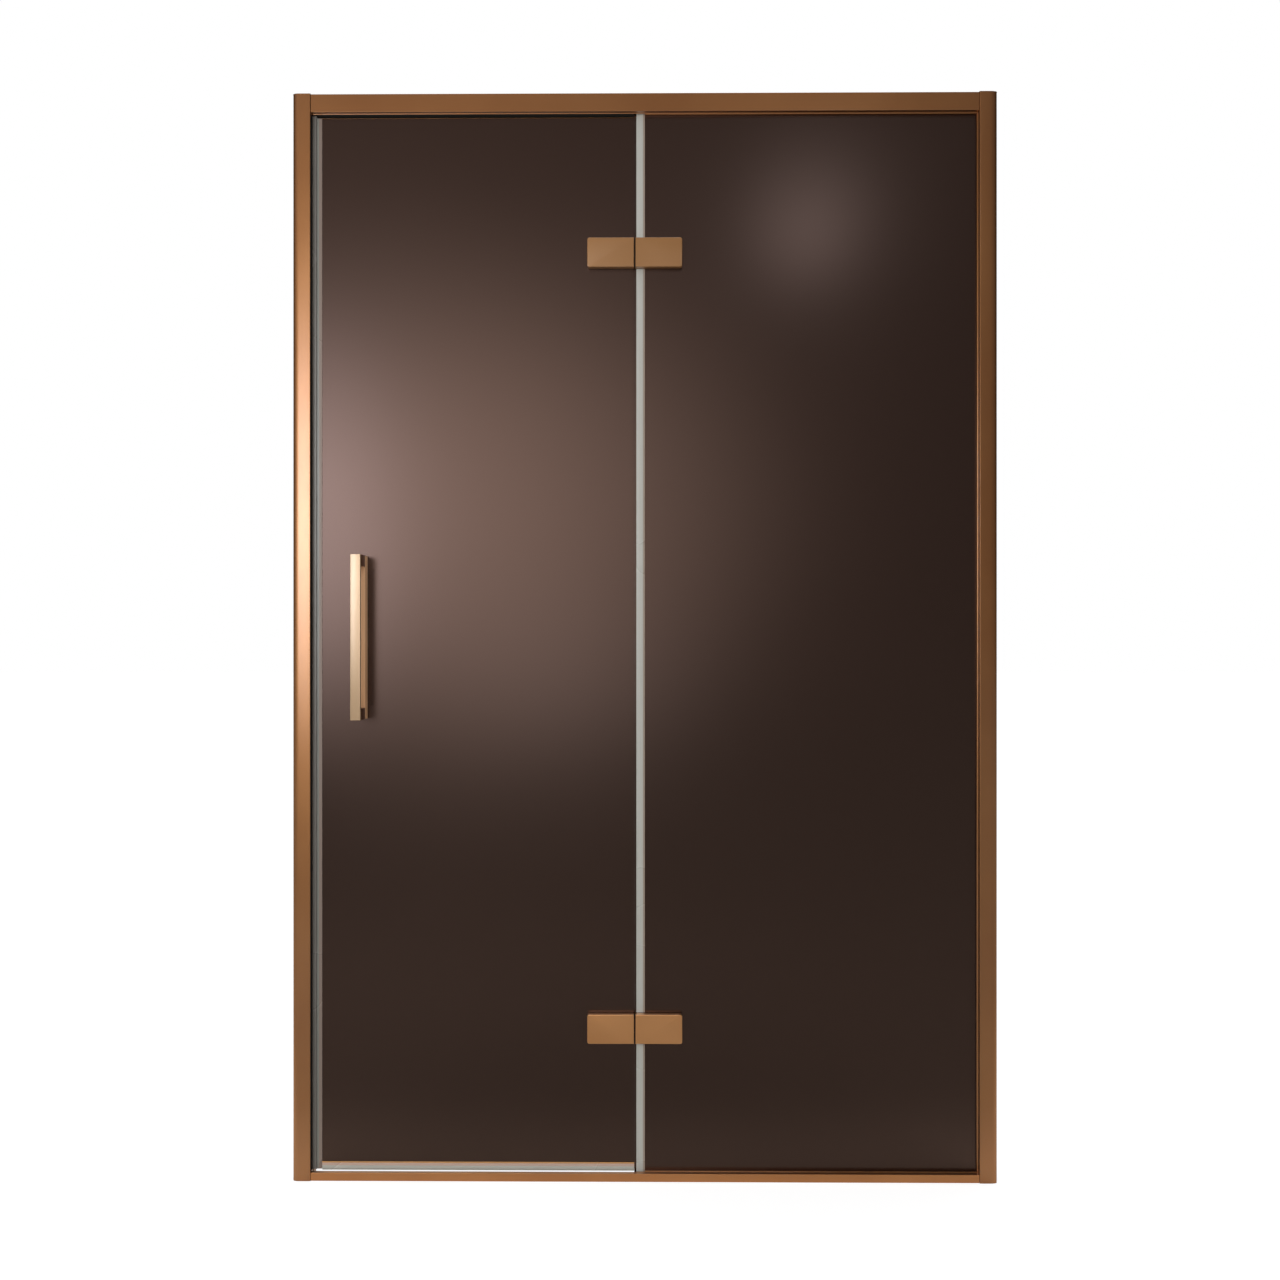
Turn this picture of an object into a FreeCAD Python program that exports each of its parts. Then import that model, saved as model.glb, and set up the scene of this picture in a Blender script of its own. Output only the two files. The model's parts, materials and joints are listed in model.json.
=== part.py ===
import FreeCAD
import Part
import Sketcher
import os

os.makedirs("parts", exist_ok=True)

# A framed shower door for a recess: a hinged leaf at the left, a fixed pane at the right.
# Millimetres. X runs along the wall line from the left wall, Z up from the tray, and the
# bathroom is on the side of -Y. Y = 0 is the middle of the glass.

# Driving dimensions
driving = {
    # Overall frame
    "overall_width": 1296,
    "overall_height": 2000,
    "skin": 1.6,
    "joint_gap": 0.2,
    # Glass
    "glass_thickness": 8,
    "split_line": 630.5,
    "door_edge_gap": 1.0,
    "fixed_edge_gap": 6.5,
    # Wall jambs and the channels inside them
    "jamb_face": 34,
    "jamb_depth": 36,
    "jamb_standoff": 1,
    "jamb_outer_radius": 12,
    "jamb_inner_radius": 1.2,
    "channel_width": 18,
    "channel_reach": 18,
    "channel_wall": 1.5,
    "channel_clearance": 0.3,
    "channel_drop": 30,
    "guide_length": 7,
    "screw_radius": 2.6,
    "screw_inset": 100,
    "cap_thickness": 1.5,
    "plug_depth": 10,
    "plug_width": 4.8,
    "plug_length": 18,
    # Rails
    "rail_depth": 33,
    "top_rail_height": 34,
    "top_rail_drop": 1,
    "pocket_width": 15,
    "pocket_depth": 14,
    "pocket_wall": 1.5,
    "lip_drop": 0.8,
    "threshold_height": 15,
    "threshold_depth": 7,
    "base_thickness": 1.5,
    "channel_floor": 1.5,
    # Fixed pane in its pockets
    "jamb_pocket_depth": 12,
    "edge_clearance": 1.5,
    "top_clearance": 3.5,
    "block_height": 3,
    "block_length": 60,
    "block_inset": 120,
    "gasket_gap": 0.1,
    "gasket_proud": 0.6,
    "infill_thickness": 1.5,
    # Magnetic seal at the left jamb
    "strike_reach": 7.6,
    "strike_width": 10,
    "strike_stem": 4,
    "strike_barb": 7,
    "barb_length": 2.4,
    "seal_clearance": 0.3,
    "magnet_gap": 1.0,
    "door_seal_head": 3.3,
    "seal_leg": 6,
    "seal_skin": 1.2,
    # Seal between the two panes
    "centre_leg": 12,
    "centre_web": 3.6,
    "fin_length": 2.2,
    "fin_thickness": 1,
    # Door leaf
    "door_top_gap": 6,
    "door_glass_bottom": 22,
    "bottom_leg": 8.5,
    "bottom_web": 3.4,
    "bottom_fin": 2,
    "bottom_fin_spread": 3,
    # Hinges
    "hinge_height": 54,
    "hinge_plate": 86,
    "hinge_gap": 2.6,
    "hinge_projection": 12.5,
    "hinge_corner": 4,
    "hinge_bevel": 0.8,
    "hinge_liner": 1.1,
    "upper_hinge_drop": 292.5,
    "lower_hinge_level": 280,
    "pivot_back": 18.5,
    "knuckle_radius": 6.5,
    "knuckle_clearance": 0.5,
    "door_knuckle": 18,
    "knuckle_gap": 0.4,
    "pin_radius": 3,
    "pin_clearance": 0.05,
    "pin_head": 1.2,
    "notch_depth": 34,
    "notch_height": 30,
    "notch_radius": 8,
    "boss_inset": 4.5,
    "boss_length": 25,
    "boss_height": 24,
    "clamp_head_radius": 4.6,
    "clamp_head_depth": 4.5,
    "clamp_screw_pitch": 12,
    # Handles
    "handle_left": 118,
    "handle_width": 18.3,
    "handle_length": 300,
    "handle_level": 1000,
    "handle_base": 19,
    "handle_reach": 52,
    "handle_grip": 6,
    "handle_foot": 21,
    "handle_bevel": 0.6,
    "handle_washer": 0.3,
    "bolt_radius": 4,
    "bolt_depth": 10,
    "glass_hole_radius": 6,
}

doc = FreeCAD.newDocument("shower_door")
sheet = doc.addObject("Spreadsheet::Sheet", "sizes")
for row, (alias, value) in enumerate(driving.items(), start=1):
    sheet.set(f"A{row}", alias)
    sheet.set(f"B{row}", str(value))
    sheet.setAlias(f"B{row}", alias)
doc.recompute()


class Size:
    """A length with its number and the sheet formula that it comes from."""

    def __init__(self, number, formula):
        self.number = number
        self.formula = formula

    def __add__(self, other):
        other = as_size(other)
        return Size(self.number + other.number, f"({self.formula} + {other.formula})")

    def __sub__(self, other):
        other = as_size(other)
        return Size(self.number - other.number, f"({self.formula} - {other.formula})")

    def __mul__(self, other):
        other = as_size(other)
        return Size(self.number * other.number, f"({self.formula} * {other.formula})")

    def __truediv__(self, other):
        other = as_size(other)
        return Size(self.number / other.number, f"({self.formula} / {other.formula})")

    def __neg__(self):
        return Size(-self.number, f"(0 - {self.formula})")

    def __radd__(self, other):
        return as_size(other) + self

    def __rsub__(self, other):
        return as_size(other) - self

    def __rmul__(self, other):
        return as_size(other) * self


def as_size(value):
    if isinstance(value, Size):
        return value
    return Size(float(value), repr(float(value)))


class Sheet:
    """Gives each driving dimension by its name."""

    def __getattr__(self, alias):
        return Size(float(driving[alias]), f"sizes.{alias}")


s = Sheet()


def bind(item, path, value):
    item.setExpression(path, as_size(value).formula)


def place(item, x, y, z):
    bind(item, "Placement.Base.x", x)
    bind(item, "Placement.Base.y", y)
    bind(item, "Placement.Base.z", z)


def new_body(label, x=0, y=0, z=0):
    body = doc.addObject("PartDesign::Body", label)
    body.Label = label
    place(body, x, y, z)
    return body


def pin_point(sketch, edge, end, point):
    # Holds one end of an edge at its distances from the sketch origin.
    for kind, axis, value in (("DistanceX", -2, point[0]), ("DistanceY", -1, point[1])):
        value = as_size(value)
        if abs(value.number) < 1e-9:
            sketch.addConstraint(Sketcher.Constraint("PointOnObject", edge, end, axis))
            continue
        rule = Sketcher.Constraint(kind, -1, 1, edge, end, value.number)
        index = sketch.addConstraint(rule)
        sketch.setExpression(f"Constraints[{index}]", value.formula)


def draw(body, name, plane, loops=(), circles=()):
    sketch = body.newObject("Sketcher::SketchObject", name)
    datum = [feature for feature in body.Origin.OriginFeatures if feature.Role == plane][0]
    sketch.AttachmentSupport = [(datum, "")]
    sketch.MapMode = "FlatFace"
    for loop in loops:
        first = sketch.GeometryCount
        count = len(loop)
        corners = [FreeCAD.Vector(as_size(u).number, as_size(v).number, 0) for u, v in loop]
        for i in range(count):
            sketch.addGeometry(Part.LineSegment(corners[i], corners[(i + 1) % count]))
        for i in range(count):
            rule = Sketcher.Constraint("Coincident", first + i, 2, first + (i + 1) % count, 1)
            sketch.addConstraint(rule)
            pin_point(sketch, first + i, 1, loop[i])
    for u, v, radius in circles:
        centre = FreeCAD.Vector(as_size(u).number, as_size(v).number, 0)
        up = FreeCAD.Vector(0, 0, 1)
        edge = sketch.addGeometry(Part.Circle(centre, up, as_size(radius).number))
        pin_point(sketch, edge, 3, (u, v))
        index = sketch.addConstraint(Sketcher.Constraint("Radius", edge, as_size(radius).number))
        sketch.setExpression(f"Constraints[{index}]", as_size(radius).formula)
    return sketch


def pad(body, name, plane, length, loops, circles=()):
    feature = body.newObject("PartDesign::Pad", name)
    feature.Profile = draw(body, f"{name}_outline", plane, loops, circles)
    bind(feature, "Length", length)
    body.Tip = feature
    doc.recompute()
    return feature


def pocket(body, name, plane, loops=(), circles=()):
    before = body.Tip.Shape.Volume
    feature = body.newObject("PartDesign::Pocket", name)
    feature.Profile = draw(body, f"{name}_outline", plane, loops, circles)
    feature.Type = "ThroughAll"
    feature.Reversed = True
    body.Tip = feature
    doc.recompute()
    if feature.Shape.Volume > before - 1e-6:
        raise RuntimeError(f"{body.Label}: {name} cuts nothing")
    return feature


def rectangle(u0, v0, u1, v1):
    return [(u0, v0), (u1, v0), (u1, v1), (u0, v1)]


def edge_names(shape, wanted):
    return [f"Edge{i}" for i, edge in enumerate(shape.Edges, start=1) if wanted(edge)]


def middle(edge):
    return edge.valueAt((edge.FirstParameter + edge.LastParameter) / 2)


def along(edge, direction):
    # True for a straight edge that runs along this axis.
    if not isinstance(edge.Curve, Part.Line):
        return False
    return abs(abs(edge.Curve.Direction.dot(direction)) - 1) < 1e-6


X_WAY = FreeCAD.Vector(1, 0, 0)
Y_WAY = FreeCAD.Vector(0, 1, 0)
Z_WAY = FreeCAD.Vector(0, 0, 1)


def round_edges(body, name, radius, wanted, kind="PartDesign::Fillet"):
    tip = body.Tip
    names = edge_names(tip.Shape, wanted)
    feature = body.newObject(kind, name)
    feature.Base = (tip, names)
    bind(feature, "Radius" if kind.endswith("Fillet") else "Size", radius)
    body.Tip = feature
    doc.recompute()
    return feature


def solid_in_body(body, kind, name, at, **sizes):
    # Adds or takes away a box or cylinder, placed in the body's own frame.
    feature = body.newObject(f"PartDesign::{kind}", name)
    for key, value in sizes.items():
        bind(feature, key, value)
    place(feature, *at)
    body.Tip = feature
    doc.recompute()
    return feature


def bore(body, name, radius, depth, at):
    # A round hole that runs from this point towards -Y.
    hole = body.newObject("PartDesign::SubtractiveCylinder", name)
    bind(hole, "Radius", radius)
    bind(hole, "Height", depth)
    hole.Placement = FreeCAD.Placement(FreeCAD.Vector(0, 0, 0), FreeCAD.Rotation(X_WAY, 90))
    place(hole, *at)
    body.Tip = hole
    doc.recompute()


def box(name, low, high):
    item = doc.addObject("Part::Box", name)
    bind(item, "Length", as_size(high[0]) - low[0])
    bind(item, "Width", as_size(high[1]) - low[1])
    bind(item, "Height", as_size(high[2]) - low[2])
    place(item, *low)
    return item


def together(label, items):
    item = doc.addObject("Part::Compound", label)
    item.Links = items
    item.Label = label
    return item


def cut(label, base, tool):
    item = doc.addObject("Part::Cut", label)
    item.Base = base
    item.Tool = tool
    item.Label = label
    return item


nodes = []

# Places that several pieces share
half_glass = s.glass_thickness / 2
half_jamb = s.jamb_depth / 2
half_rail = s.rail_depth / 2
half_pocket = s.pocket_width / 2
half_channel = s.channel_width / 2
rail_left = s.jamb_face + s.joint_gap
rail_right = s.overall_width - s.jamb_face - s.joint_gap
rail_top = s.overall_height - s.top_rail_drop
rail_bottom = s.overall_height - s.top_rail_height
lip_bottom = rail_bottom - s.lip_drop
pocket_ceiling = rail_bottom + s.pocket_depth
door_right = s.split_line - s.door_edge_gap
fixed_left = s.split_line + s.fixed_edge_gap
fixed_right = s.overall_width - s.jamb_face + s.jamb_pocket_depth - s.edge_clearance
pocket_floor = s.base_thickness + s.gasket_gap + s.channel_floor
fixed_bottom = pocket_floor + s.block_height
fixed_top = pocket_ceiling - s.top_clearance
strike_end = s.jamb_face + s.strike_reach
door_seal_left = strike_end + s.magnet_gap
door_left = door_seal_left + s.door_seal_head
door_top = rail_bottom - s.door_top_gap
seal_outer = half_glass + s.gasket_gap + s.seal_skin
hinge_levels = {"upper": s.overall_height - s.upper_hinge_drop, "lower": s.lower_hinge_level}
hinge_face = half_glass + s.hinge_projection
plate_inner_face = half_glass + s.hinge_liner + s.gasket_gap * 2
handle_middle = s.handle_left + s.handle_width / 2
handle_bottom = s.handle_level - s.handle_length / 2
handle_top = s.handle_level + s.handle_length / 2


def across(side, distance):
    # A distance from one wall, turned into X.
    if side == "left":
        return as_size(distance)
    return s.overall_width - distance


def wall_channel(side):
    # U channel screwed to the wall, hidden inside the jamb.
    body = new_body(f"{side}_wall_channel")
    inside = half_channel - s.channel_wall
    outline = [
        (across(side, 0), -half_channel),
        (across(side, s.channel_reach), -half_channel),
        (across(side, s.channel_reach), -inside),
        (across(side, s.channel_wall), -inside),
        (across(side, s.channel_wall), inside),
        (across(side, s.channel_reach), inside),
        (across(side, s.channel_reach), half_channel),
        (across(side, 0), half_channel),
    ]
    height = s.overall_height - s.channel_drop
    pad(body, f"{side}_channel_section", "XY_Plane", height, [outline])
    # Four evenly spaced screws, the end ones a set distance from the ends
    spacing = (s.overall_height - s.screw_inset * 2) / 3
    holes = [(0, s.screw_inset + spacing * i, s.screw_radius) for i in range(4)]
    feature = body.newObject("PartDesign::Pocket", f"{side}_screw_holes")
    feature.Profile = draw(body, f"{side}_screw_hole_outline", "YZ_Plane", [], holes)
    feature.Type = "ThroughAll"
    feature.Reversed = True
    body.Tip = feature
    nodes.append(body)


def jamb(side):
    # Hollow extrusion over the wall channel, rounded towards the wall.
    body = new_body(f"{side}_jamb")
    back = across(side, s.jamb_standoff)
    face = across(side, s.jamb_face)
    inner_back = across(side, s.jamb_standoff + s.skin)
    inner_face = across(side, s.jamb_face - s.skin)
    height = s.overall_height - s.cap_thickness
    pad(body, f"{side}_jamb_section", "XY_Plane", height, [rectangle(back, -half_jamb, face, half_jamb)])
    inside = half_jamb - s.skin
    hollow = rectangle(inner_back, -inside, inner_face, inside)
    pocket(body, f"{side}_jamb_hollow", "XY_Plane", [hollow])
    rounds = (
        ("hollow", inner_back, s.jamb_outer_radius - s.skin),
        ("outer", back, s.jamb_outer_radius),
        ("inner", face, s.jamb_inner_radius),
    )
    for name, x, radius in rounds:
        round_edges(
            body,
            f"{side}_jamb_{name}_rounds",
            radius,
            lambda edge, x=x: along(edge, Z_WAY) and abs(middle(edge).x - x.number) < 1e-6,
        )
    # The slot for the wall channel, with a guide rib at each side
    slot = half_channel + s.channel_clearance
    slot_end = across(side, s.channel_reach)
    pocket(body, f"{side}_channel_slot", "XY_Plane", [rectangle(back, -slot, slot_end, slot)])
    ribs = []
    for way in (-1, 1):
        near = slot * way
        far = (slot + s.channel_wall) * way
        tip = across(side, s.jamb_standoff + s.skin + s.guide_length)
        ribs.append(rectangle(back, near, tip, far))
    pad(body, f"{side}_guide_ribs", "XY_Plane", height, ribs)
    if side == "left":
        # The grooved housing that holds the barb of the magnetic seal
        half_slot = s.strike_stem / 2 + s.seal_clearance
        half_groove = s.strike_barb / 2 + s.seal_clearance
        wall = half_groove + s.channel_wall
        floor = s.jamb_face - s.skin - s.barb_length - s.seal_clearance * 2
        housing = rectangle(floor - s.channel_wall, -wall, inner_face, wall)
        pad(body, "strike_housing", "XY_Plane", height, [housing])
        groove = rectangle(floor, -half_groove, inner_face, half_groove)
        slot_mouth = rectangle(inner_face - s.gasket_gap, -half_slot, face, half_slot)
        pocket(body, "strike_groove", "XY_Plane", [groove])
        pocket(body, "strike_slot", "XY_Plane", [slot_mouth])
    else:
        # The pocket that holds the edge of the fixed pane
        wall = half_pocket + s.pocket_wall
        floor = across(side, s.jamb_face - s.jamb_pocket_depth)
        beyond = across(side, s.jamb_face - s.jamb_pocket_depth - s.pocket_wall)
        pad(body, "pane_pocket_walls", "XY_Plane", height, [rectangle(beyond, -wall, inner_face, wall)])
        pocket(body, "pane_pocket", "XY_Plane", [rectangle(floor, -half_pocket, face, half_pocket)])
    nodes.append(body)


def jamb_cap(side):
    # Top cap with two plugs that stand in the hollow of the jamb.
    body = new_body(f"{side}_jamb_cap", 0, 0, s.overall_height - s.cap_thickness)
    back = across(side, s.jamb_standoff)
    face = across(side, s.jamb_face)
    section = [rectangle(back, -half_jamb, face, half_jamb)]
    pad(body, f"{side}_cap_plate", "XY_Plane", s.cap_thickness, section)
    round_edges(
        body,
        f"{side}_cap_rounds",
        s.jamb_outer_radius,
        lambda edge: along(edge, Z_WAY) and abs(middle(edge).x - back.number) < 1e-6,
    )
    # The plugs start where the rounding of the hollow ends.
    start = s.jamb_standoff + s.jamb_outer_radius
    low = start if side == "left" else s.overall_width - start - s.plug_length
    outer = half_jamb - s.skin - s.channel_clearance
    for name, y in (("front", -outer), ("rear", outer - s.plug_width)):
        solid_in_body(
            body,
            "AdditiveBox",
            f"{side}_cap_{name}_plug",
            (low, y, -s.plug_depth),
            Length=s.plug_length,
            Width=s.plug_width,
            Height=s.plug_depth,
        )
    nodes.append(body)


def top_rail():
    # Head extrusion: two side chambers, one above, and the pocket between its lips.
    body = new_body("top_rail", rail_left)
    length = rail_right - rail_left
    wall = half_pocket + s.pocket_wall
    inside = half_rail - s.skin
    outline = [
        (-half_rail, rail_bottom),
        (-wall, rail_bottom),
        (-wall, lip_bottom),
        (-half_pocket, lip_bottom),
        (-half_pocket, pocket_ceiling),
        (half_pocket, pocket_ceiling),
        (half_pocket, lip_bottom),
        (wall, lip_bottom),
        (wall, rail_bottom),
        (half_rail, rail_bottom),
        (half_rail, rail_top),
        (-half_rail, rail_top),
    ]
    pad(body, "top_rail_section", "YZ_Plane", length, [outline])
    side_top = pocket_ceiling
    chambers = [
        rectangle(-inside, rail_bottom + s.skin, -wall, side_top),
        rectangle(wall, rail_bottom + s.skin, inside, side_top),
        rectangle(-inside, pocket_ceiling + s.pocket_wall, inside, rail_top - s.skin),
    ]
    pocket(body, "top_rail_chambers", "YZ_Plane", chambers)
    nodes.append(body)


def bottom_rail():
    # Low threshold: an upstand box at the front and a thin base behind it.
    body = new_body("bottom_rail", rail_left)
    length = rail_right - rail_left
    upstand_back = s.threshold_depth - half_rail
    outline = [
        (-half_rail, 0),
        (half_rail, 0),
        (half_rail, s.base_thickness),
        (upstand_back, s.base_thickness),
        (upstand_back, s.threshold_height),
        (-half_rail, s.threshold_height),
    ]
    pad(body, "bottom_rail_section", "YZ_Plane", length, [outline])
    chamber = rectangle(
        s.skin - half_rail,
        s.base_thickness,
        upstand_back - s.skin,
        s.threshold_height - s.skin,
    )
    pocket(body, "bottom_rail_chamber", "YZ_Plane", [chamber])
    nodes.append(body)


def pane_channel():
    # Channel on the base of the bottom rail that holds the fixed pane.
    start = s.split_line + s.door_edge_gap * 2
    body = new_body("pane_channel", start)
    length = rail_right - start
    front = s.threshold_depth - half_rail + s.gasket_gap
    low = s.base_thickness + s.gasket_gap
    outline = [
        (front, low),
        (half_rail, low),
        (half_rail, s.threshold_height),
        (half_pocket, s.threshold_height),
        (half_pocket, pocket_floor),
        (-half_pocket, pocket_floor),
        (-half_pocket, s.threshold_height),
        (front, s.threshold_height),
    ]
    pad(body, "pane_channel_section", "YZ_Plane", length, [outline])
    chamber = rectangle(
        half_pocket + s.pocket_wall,
        pocket_floor,
        half_rail - s.skin,
        s.threshold_height - s.skin,
    )
    pocket(body, "pane_channel_chamber", "YZ_Plane", [chamber])
    nodes.append(body)


def glass_hinge_notch(edge_x, way, level):
    # The notch that a hinge boss passes through, open at the edge of the pane.
    half = s.notch_height / 2
    return rectangle(edge_x, level - half, edge_x + s.notch_depth * way, level + half)


def pane(label, left, right, bottom, top, hinge_edge, way, holes=()):
    body = new_body(label, 0, half_glass, 0)
    pad(body, f"{label}_sheet", "XZ_Plane", s.glass_thickness, [rectangle(left, bottom, right, top)])
    notches = [glass_hinge_notch(hinge_edge, way, level) for level in hinge_levels.values()]
    pocket(body, f"{label}_notches", "XZ_Plane", notches, holes)
    # The inner corners of a notch in glass are always rounded.
    notch_end = hinge_edge + s.notch_depth * way
    round_edges(
        body,
        f"{label}_notch_rounds",
        s.notch_radius,
        lambda edge: along(edge, Y_WAY) and abs(middle(edge).x - notch_end.number) < 1e-6,
    )
    nodes.append(body)


def infill_strip():
    # Flat closer in the head pocket above the leaf, up to the fin of the centre seal.
    low = rail_bottom
    right = fixed_left - s.gasket_gap - s.centre_web - s.fin_length - s.seal_clearance
    item = box(
        "infill_strip",
        (rail_left + s.joint_gap, s.gasket_gap - half_pocket, low),
        (right, half_pocket - s.gasket_gap, low + s.infill_thickness),
    )
    item.Label = "infill_strip"
    nodes.append(item)


def gasket_pair(label, low_x, high_x, low_z, high_z):
    # A wedge of rubber on each face of the fixed pane.
    inner = half_glass + s.gasket_gap
    outer = half_pocket - s.gasket_gap
    front = box(f"{label}_front", (low_x, -outer, low_z), (high_x, -inner, high_z))
    rear = box(f"{label}_rear", (low_x, inner, low_z), (high_x, outer, high_z))
    nodes.append(together(label, [front, rear]))


def setting_blocks():
    low = pocket_floor
    items = []
    for name, x in (
        ("near", fixed_left + s.block_inset),
        ("far", fixed_right - s.block_inset - s.block_length),
    ):
        items.append(
            box(
                f"setting_block_{name}",
                (x, -half_glass, low),
                (x + s.block_length, half_glass, low + s.block_height),
            )
        )
    nodes.append(together("setting_blocks", items))


def strike_seal():
    # Magnetic strip on the jamb, held by a barbed stem in the jamb's slot.
    body = new_body("strike_seal", 0, 0, s.threshold_height + s.magnet_gap)
    half = s.strike_width / 2
    stem = s.strike_stem / 2
    barb = s.strike_barb / 2
    inner = s.jamb_face - s.skin - s.gasket_gap
    outline = [
        (strike_end, -half),
        (strike_end, half),
        (s.jamb_face + s.gasket_gap, half),
        (s.jamb_face + s.gasket_gap, stem),
        (inner, stem),
        (inner, barb),
        (inner - s.barb_length, stem),
        (inner - s.barb_length, -stem),
        (inner, -barb),
        (inner, -stem),
        (s.jamb_face + s.gasket_gap, -stem),
        (s.jamb_face + s.gasket_gap, -half),
    ]
    height = lip_bottom - s.magnet_gap - s.threshold_height - s.magnet_gap
    pad(body, "strike_seal_section", "XY_Plane", height, [outline])
    nodes.append(body)


def door_strike_seal():
    # The other half of the magnetic seal, clipped on the free edge of the leaf.
    body = new_body("door_strike_seal", 0, 0, s.door_glass_bottom - s.bottom_web - s.gasket_gap)
    inner = half_glass + s.gasket_gap
    outline = [
        (door_seal_left, -seal_outer),
        (door_left + s.seal_leg, -seal_outer),
        (door_left + s.seal_leg, -inner),
        (door_left - s.gasket_gap, -inner),
        (door_left - s.gasket_gap, inner),
        (door_left + s.seal_leg, inner),
        (door_left + s.seal_leg, seal_outer),
        (door_seal_left, seal_outer),
    ]
    height = door_top - s.door_glass_bottom + s.bottom_web + s.gasket_gap
    pad(body, "door_strike_seal_section", "XY_Plane", height, [outline])
    nodes.append(body)


def door_bottom_seal():
    # Clip-on seal below the leaf, with two wiping fins.
    start = door_left + s.seal_leg + s.seal_clearance
    body = new_body("door_bottom_seal", start)
    inner = half_glass + s.gasket_gap
    web_top = s.door_glass_bottom - s.gasket_gap
    web_bottom = web_top - s.bottom_web
    fin_bottom = web_bottom - s.bottom_fin
    fin_in = s.bottom_fin_spread - s.fin_thickness / 2
    fin_out = s.bottom_fin_spread + s.fin_thickness / 2
    leg_top = s.door_glass_bottom + s.bottom_leg
    outline = [
        (-seal_outer, leg_top),
        (-seal_outer, web_bottom),
        (-fin_out, web_bottom),
        (-fin_out, fin_bottom),
        (-fin_in, fin_bottom),
        (-fin_in, web_bottom),
        (fin_in, web_bottom),
        (fin_in, fin_bottom),
        (fin_out, fin_bottom),
        (fin_out, web_bottom),
        (seal_outer, web_bottom),
        (seal_outer, leg_top),
        (inner, leg_top),
        (inner, web_top),
        (-inner, web_top),
        (-inner, leg_top),
    ]
    pad(body, "door_bottom_seal_section", "YZ_Plane", door_right - start, [outline])
    nodes.append(body)


def centre_seal(name, low, high):
    # One length of the clear profile on the edge of the fixed pane.
    body = new_body(f"centre_seal_{name}", 0, 0, low)
    inner = half_glass + s.gasket_gap
    web_right = fixed_left - s.gasket_gap
    web_left = web_right - s.centre_web
    leg_end = fixed_left + s.centre_leg
    fin = s.fin_thickness / 2
    outline = [
        (web_left, -seal_outer),
        (leg_end, -seal_outer),
        (leg_end, -inner),
        (web_right, -inner),
        (web_right, inner),
        (leg_end, inner),
        (leg_end, seal_outer),
        (web_left, seal_outer),
        (web_left, fin),
        (web_left - s.fin_length, fin),
        (web_left - s.fin_length, -fin),
        (web_left, -fin),
    ]
    pad(body, f"centre_seal_{name}_section", "XY_Plane", high - low, [outline])
    nodes.append(body)


def hinge_plate_front(level_name, half, way):
    body = new_body(f"{level_name}_hinge_{half}_front", 0, -plate_inner_face, hinge_levels[level_name])
    near = s.split_line + s.hinge_gap / 2 * way
    far = near + s.hinge_plate * way
    tall = s.hinge_height / 2
    thickness = hinge_face - plate_inner_face
    name = f"{level_name}_{half}_front"
    pad(body, f"{name}_plate", "XZ_Plane", thickness, [rectangle(near, -tall, far, tall)])
    round_edges(
        body,
        f"{name}_corners",
        s.hinge_corner,
        lambda edge: along(edge, Y_WAY) and abs(middle(edge).x - far.number) < 1e-6,
    )
    outer = -thickness.number
    round_edges(
        body,
        f"{name}_bevel",
        s.hinge_bevel,
        lambda edge: abs(middle(edge).y - outer) < 1e-6,
        "PartDesign::Chamfer",
    )
    nodes.append(body)


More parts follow.
